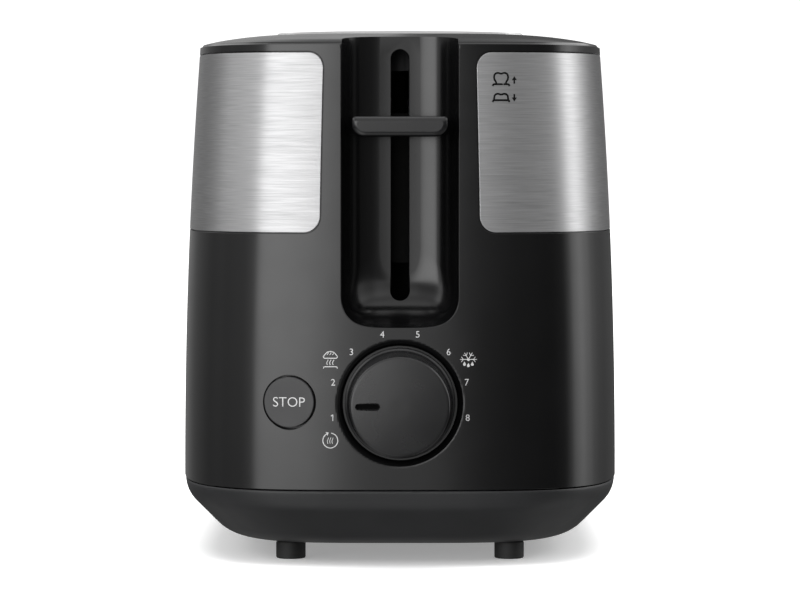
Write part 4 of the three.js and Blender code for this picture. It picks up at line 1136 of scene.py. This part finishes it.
def make_ribbons():
    """Heating ribbon wound round the three mica boards."""
    half_width, half_board, thin = 0.7, 0.72, 0.2
    section = [(0, -half_width), (0, half_width), (thin, half_width), (thin, -half_width)]
    for x, side in ((-BOARD_X, "left"), (0, "centre"), (BOARD_X, "right")):
        points, faces = [], []
        for z in 48 + 10.2 * np.arange(12):
            start = len(points)
            for sx, sy in ((-1, -1), (1, -1), (1, 1), (-1, 1)):
                y = BOARD_FRONT if sy < 0 else BOARD_BACK
                for inset, rise in section:
                    points.append((x + sx * (half_board - inset), y - sy * inset, z + rise))
            corner = [range(start + 4 * c, start + 4 * c + 4) for c in (0, 1, 2, 3, 0)]
            for low, high in zip(corner, corner[1:]):
                faces += band(low, high)
        ribbon = outward(build(f"heating_ribbon_{side}", points, faces))
        finish_piece(ribbon, "root", RIBBON)


def make_inlet():
    """Rubber bushing where a mains lead would enter."""
    spot, normal = wall_frame(INLET_X, INLET_Z, 1)
    profile = [(6.8, -6.2), (6.8, -4.4), (5.4, -4.4), (5.4, 0.5), (8, 0.5), (8, 1.3), (7.8, 1.9), (7.2, 2.4)]
    profile += [(6.6, 2.6), (5.6, 2.7), (5.2, 3.1), (5.0, 3.8), (4.9, 5.4), (4.7, 5.8), (4.3, 6)]
    bushing = lathe("cord_bushing", profile, spot, normal, 64)
    boolean(bushing, lathe("bushing_bore", [(3.6, -8), (3.6, 8)], spot, normal, 48))
    crisp(bushing, 40)
    finish_piece(bushing, "root", RUBBER, ["cord_inlet"])


# ---- printed marks


class Print:
    """Thin closed slabs of ink; place(u, v, lift) turns flat millimetres into a point on a surface."""

    def __init__(self, place):
        self.place = place
        self.points = []
        self.faces = []

    def skin(self, loops, closed=False):
        """A tube over four-point or longer loops, capped unless it closes on itself."""
        start, n = len(self.points), len(loops[0])
        for loop in loops:
            self.points += [self.place(u, v, lift) for u, v, lift in loop]
        spans = len(loops) if closed else len(loops) - 1
        for k in range(spans):
            a, b = start + k * n, start + ((k + 1) % len(loops)) * n
            self.faces += band(range(a, a + n), range(b, b + n))
        if not closed:
            self.faces.append([start + i for i in range(n)][::-1])
            self.faces.append([start + (len(loops) - 1) * n + i for i in range(n)])

    def stroke(self, path, width, closed=False):
        """A line of this width along a path."""
        path = np.asarray(path, float)
        if closed:
            ahead, behind = np.roll(path, -1, 0), np.roll(path, 1, 0)
        else:
            ahead, behind = np.vstack([path[1:], path[-1:]]), np.vstack([path[:1], path[:-1]])
        along = ahead - behind
        along /= np.linalg.norm(along, axis=1, keepdims=True)
        side = np.stack([-along[:, 1], along[:, 0]], 1) * width / 2
        loops = []
        for p, s in zip(path, side):
            left, right = p + s, p - s
            loops.append([(*left, INK_TOP), (*right, INK_TOP), (*right, INK_FOOT), (*left, INK_FOOT)])
        self.skin(loops, closed)

    def patch(self, outline):
        """A filled outline."""
        self.skin([[(u, v, INK_TOP) for u, v in outline], [(u, v, INK_FOOT) for u, v in outline]])

    def text(self, words, u, v, height, thin=0.0, spacing=1.06):
        """Lettering in the built-in face, centred on u and v."""
        curve = bpy.data.curves.new("text", "FONT")
        curve.body = words
        curve.resolution_u = 5
        curve.extrude = 0.5
        curve.offset = thin
        curve.size = 10
        curve.space_character = spacing
        holder = bpy.data.objects.new("text", curve)
        mesh = bpy.data.meshes.new_from_object(holder)
        work = bmesh.new()
        work.from_mesh(mesh)
        bmesh.ops.remove_doubles(work, verts=work.verts, dist=0.0005)
        co = np.array([p.co for p in work.verts])
        low, high = co.min(0), co.max(0)
        middle, scale = (low + high) / 2, height / (high[1] - low[1])
        start = len(self.points)
        work.verts.ensure_lookup_table()
        for p in work.verts:
            lift = INK_TOP if p.co.z > 0 else INK_FOOT
            flat = (np.array(p.co)[:2] - middle[:2]) * scale
            self.points.append(self.place(u + flat[0], v + flat[1], lift))
        self.faces += [[start + p.index for p in face.verts] for face in work.faces]
        work.free()
        bpy.data.objects.remove(holder)
        bpy.data.curves.remove(curve)
        bpy.data.meshes.remove(mesh)

    def finish(self, name, body, material):
        finish_piece(outward(build(name, self.points, self.faces)), body, material)


INK_TOP, INK_FOOT = 0.04, -0.12
ICON_LINE = 0.34


def on_wall(u, v, lift):
    point = np.array([[u, float(front_y(u, v)), v]])
    return (point + wall_normals(point) * lift)[0]


def moved(points, u, v):
    return [(u + x, v + y) for x, y in points]


def mirrored(points):
    return [(-x, y) for x, y in points[::-1]]


def heat_wave(x, low, high, swing=0.28):
    """One rising wave of hot air."""
    return [(x + swing * math.sin(-t * 4.2), low + (high - low) * t) for t in np.linspace(0, 1, 15)]


def draw_bun(ink, u, v):
    """A bun over rising heat on a warming rack."""
    side = [(2.2, 0.62), (2.55, 0.95), (2.6, 1.35)]
    bun = [(-2.2, 0.62)] + side + arc(2.3, 25, 155, 13, (0, 0.85))[1:-1] + mirrored(side)[:-1]
    ink.stroke(moved(bun, u, v), ICON_LINE, True)
    for x in (-1.0, 0.0, 1.0):
        ink.stroke(moved([(x + 0.28, 2.75), (x + 0.1, 2.3), (x - 0.25, 1.85)], u, v), 0.26)
        ink.stroke(moved(heat_wave(x * 1.05, -1.85, 0.1), u, v), 0.26)
    rack = [(-2.6, -3.15), (-2.45, -2.65), (-2.1, -2.5)]
    ink.stroke(moved(rack + mirrored(rack), u, v), ICON_LINE)


def draw_defrost(ink, u, v):
    """A snowflake that melts into three drops."""
    for degrees, length in ((0, 3.1), (60, 2.85), (120, 2.85), (180, 3.1)):
        reach = np.array(arc(1, degrees, degrees, 1)[0])
        across = np.array([-reach[1], reach[0]])
        fork = reach * (length - 1.25)
        ink.stroke(moved([(0, 0), reach * length], u, v), 0.24)
        for turn in (-1, 1):
            ink.stroke(moved([fork, fork + reach * 0.75 + across * turn * 0.95], u, v), 0.22)
    ink.patch(moved(arc(0.5, 0, 345, 24, (0, -0.1)), u, v))
    for x, y in ((-1.45, -1.85), (0, -2.35), (1.45, -1.85)):
        drop = arc(0.52, -215, 35, 16) + [(0.0, 1.05)]
        ink.patch(moved(drop, u + x, v + y))


def draw_reheat(ink, u, v):
    """Heat inside a circling arrow."""
    ink.stroke(moved(arc(2.75, 82, -238, 44), u, v), ICON_LINE)
    ink.patch(moved([(-0.55, 2.95), (-1.75, 3.1), (-1.05, 1.75)], u, v))
    for x in (-0.85, 0.0, 0.85):
        ink.stroke(moved(heat_wave(x, -1.2, 1.1, 0.22), u, v), 0.22)


def make_dial_print():
    ink = Print(on_wall)
    spots = arc(25.7, 193.4, 193.4 - 29.54 * 7, 8, (0, DIAL_Z + 0.7))
    for number, (u, v) in enumerate(spots, 1):
        if number == 1:
            ink.stroke(moved([(-0.5, 0.62), (-0.28, 0.72), (0.0, 1.0), (0.18, 1.2), (0.18, -1.2)], u, v), 0.3)
        else:
            ink.text(str(number), u, v, 2.4, -0.02)
    draw_bun(ink, -25.7, 76.9)
    draw_defrost(ink, 25.25, 77.1)
    draw_reheat(ink, -25.75, 47.1)
    ink.finish("dial_print", "root", LIGHT_INK)


def make_stop_print():
    spot, normal = wall_frame(STOP_X, STOP_Z)
    across = Vector((0, 0, 1)).cross(normal)

    def on_button(u, v, lift):
        return np.array(spot + normal * (STOP_FACE + lift) + across * u + Vector((0, 0, v)))

    ink = Print(on_button)
    ink.text("STOP", 0, 0.1, 3.5, -0.1, 1.0)
    ink.finish("stop_print", "stop_button", LIGHT_INK)


def make_panel_print():
    """Bread lifted high, and bread lowered, each with its arrow."""
    ink = Print(on_wall)
    u = 37.3
    crust = arc(1.42, 150, 55, 10, (-1.2, -1.35)) + arc(1.42, 125, 30, 10, (1.2, -1.35))
    lifted = [(-1.85, -4.1), (-1.8, -3.5), (-2.05, -3.0), (-2.45, -2.4), (-2.62, -1.6)]
    lowered = [(-2.6, -2.3), (-2.58, -1.6)]
    for top, edge in ((182.7, lifted), (175.0, lowered)):
        ink.stroke(moved(edge + crust + mirrored(edge), u, top), 0.7)
        shelf = edge[0][1]
        rack = [(-3.15, shelf - 0.65), (-2.85, shelf - 0.1), (-2.5, shelf)]
        ink.stroke(moved(rack + mirrored(rack), u, top), 0.74)
    for tip, foot in ((181.6, 178.8), (172.2, 175.0)):
        way = 1 if tip > foot else -1
        ink.stroke([(u + 4.9, foot), (u + 4.9, tip - way * 1.1)], 0.62)
        ink.patch([(u + 4.9, tip), (u + 5.85, tip - way * 1.5), (u + 3.95, tip - way * 1.5)][::way])
    ink.finish("panel_print", "root", DARK_INK)


for make in (
    make_housing, make_panels, make_base, make_plate, make_feet, make_dial, make_stop_button,
    make_lever_knob, make_guides, make_racks, make_spring, make_ribbons, make_inlet,
    make_dial_print, make_stop_print, make_panel_print,
):
    make()

# ---- pieces carried over from the frame

CARRIED = {
    GALVANISED: ["crumb_tray", "guide_rod_nut", "chassis_front_plate", "chassis_rear_plate", "reflector_left",
                 "reflector_right", "potentiometer_shaft"],
    # painted shade: the guide rod and carriage are coloured black for the shade they sit in behind the lever
    # slot
    PAINTED_SHADE_BLACK: ["guide_rod", "carriage"],
    # painted shade: the upper rod bracket is coloured near black for the shade behind the lever slot
    PAINTED_SHADE_BRACKET: ["rod_bracket_upper"],
    PRESSED: ["rod_bracket_lower"],
    IRON: ["armature", "magnet_core"],
    COPPER: ["magnet_coil"],
    COMPONENT: ["contact_block", "potentiometer", "stop_switch"],
    BRASS: ["contact_blade_left", "contact_blade_right"],
    CIRCUIT: ["control_board"],
    MICA: ["heater_board_left", "heater_board_centre", "heater_board_right"],
}


def dress_carried():
    """Gives every node that is still shown its material and slightly rounded edges."""
    paints = {name: paint for paint, names in CARRIED.items() for name in names}
    for name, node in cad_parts.items():
        if node.hide_render:
            continue
        node.data.materials.clear()
        node.data.materials.append(GALVANISED if "screw" in name else paints[name])
        modify(node, "WELD", merge_threshold=0.01 * MM)
        round_edges(node, 0.12, 40)


dress_carried()
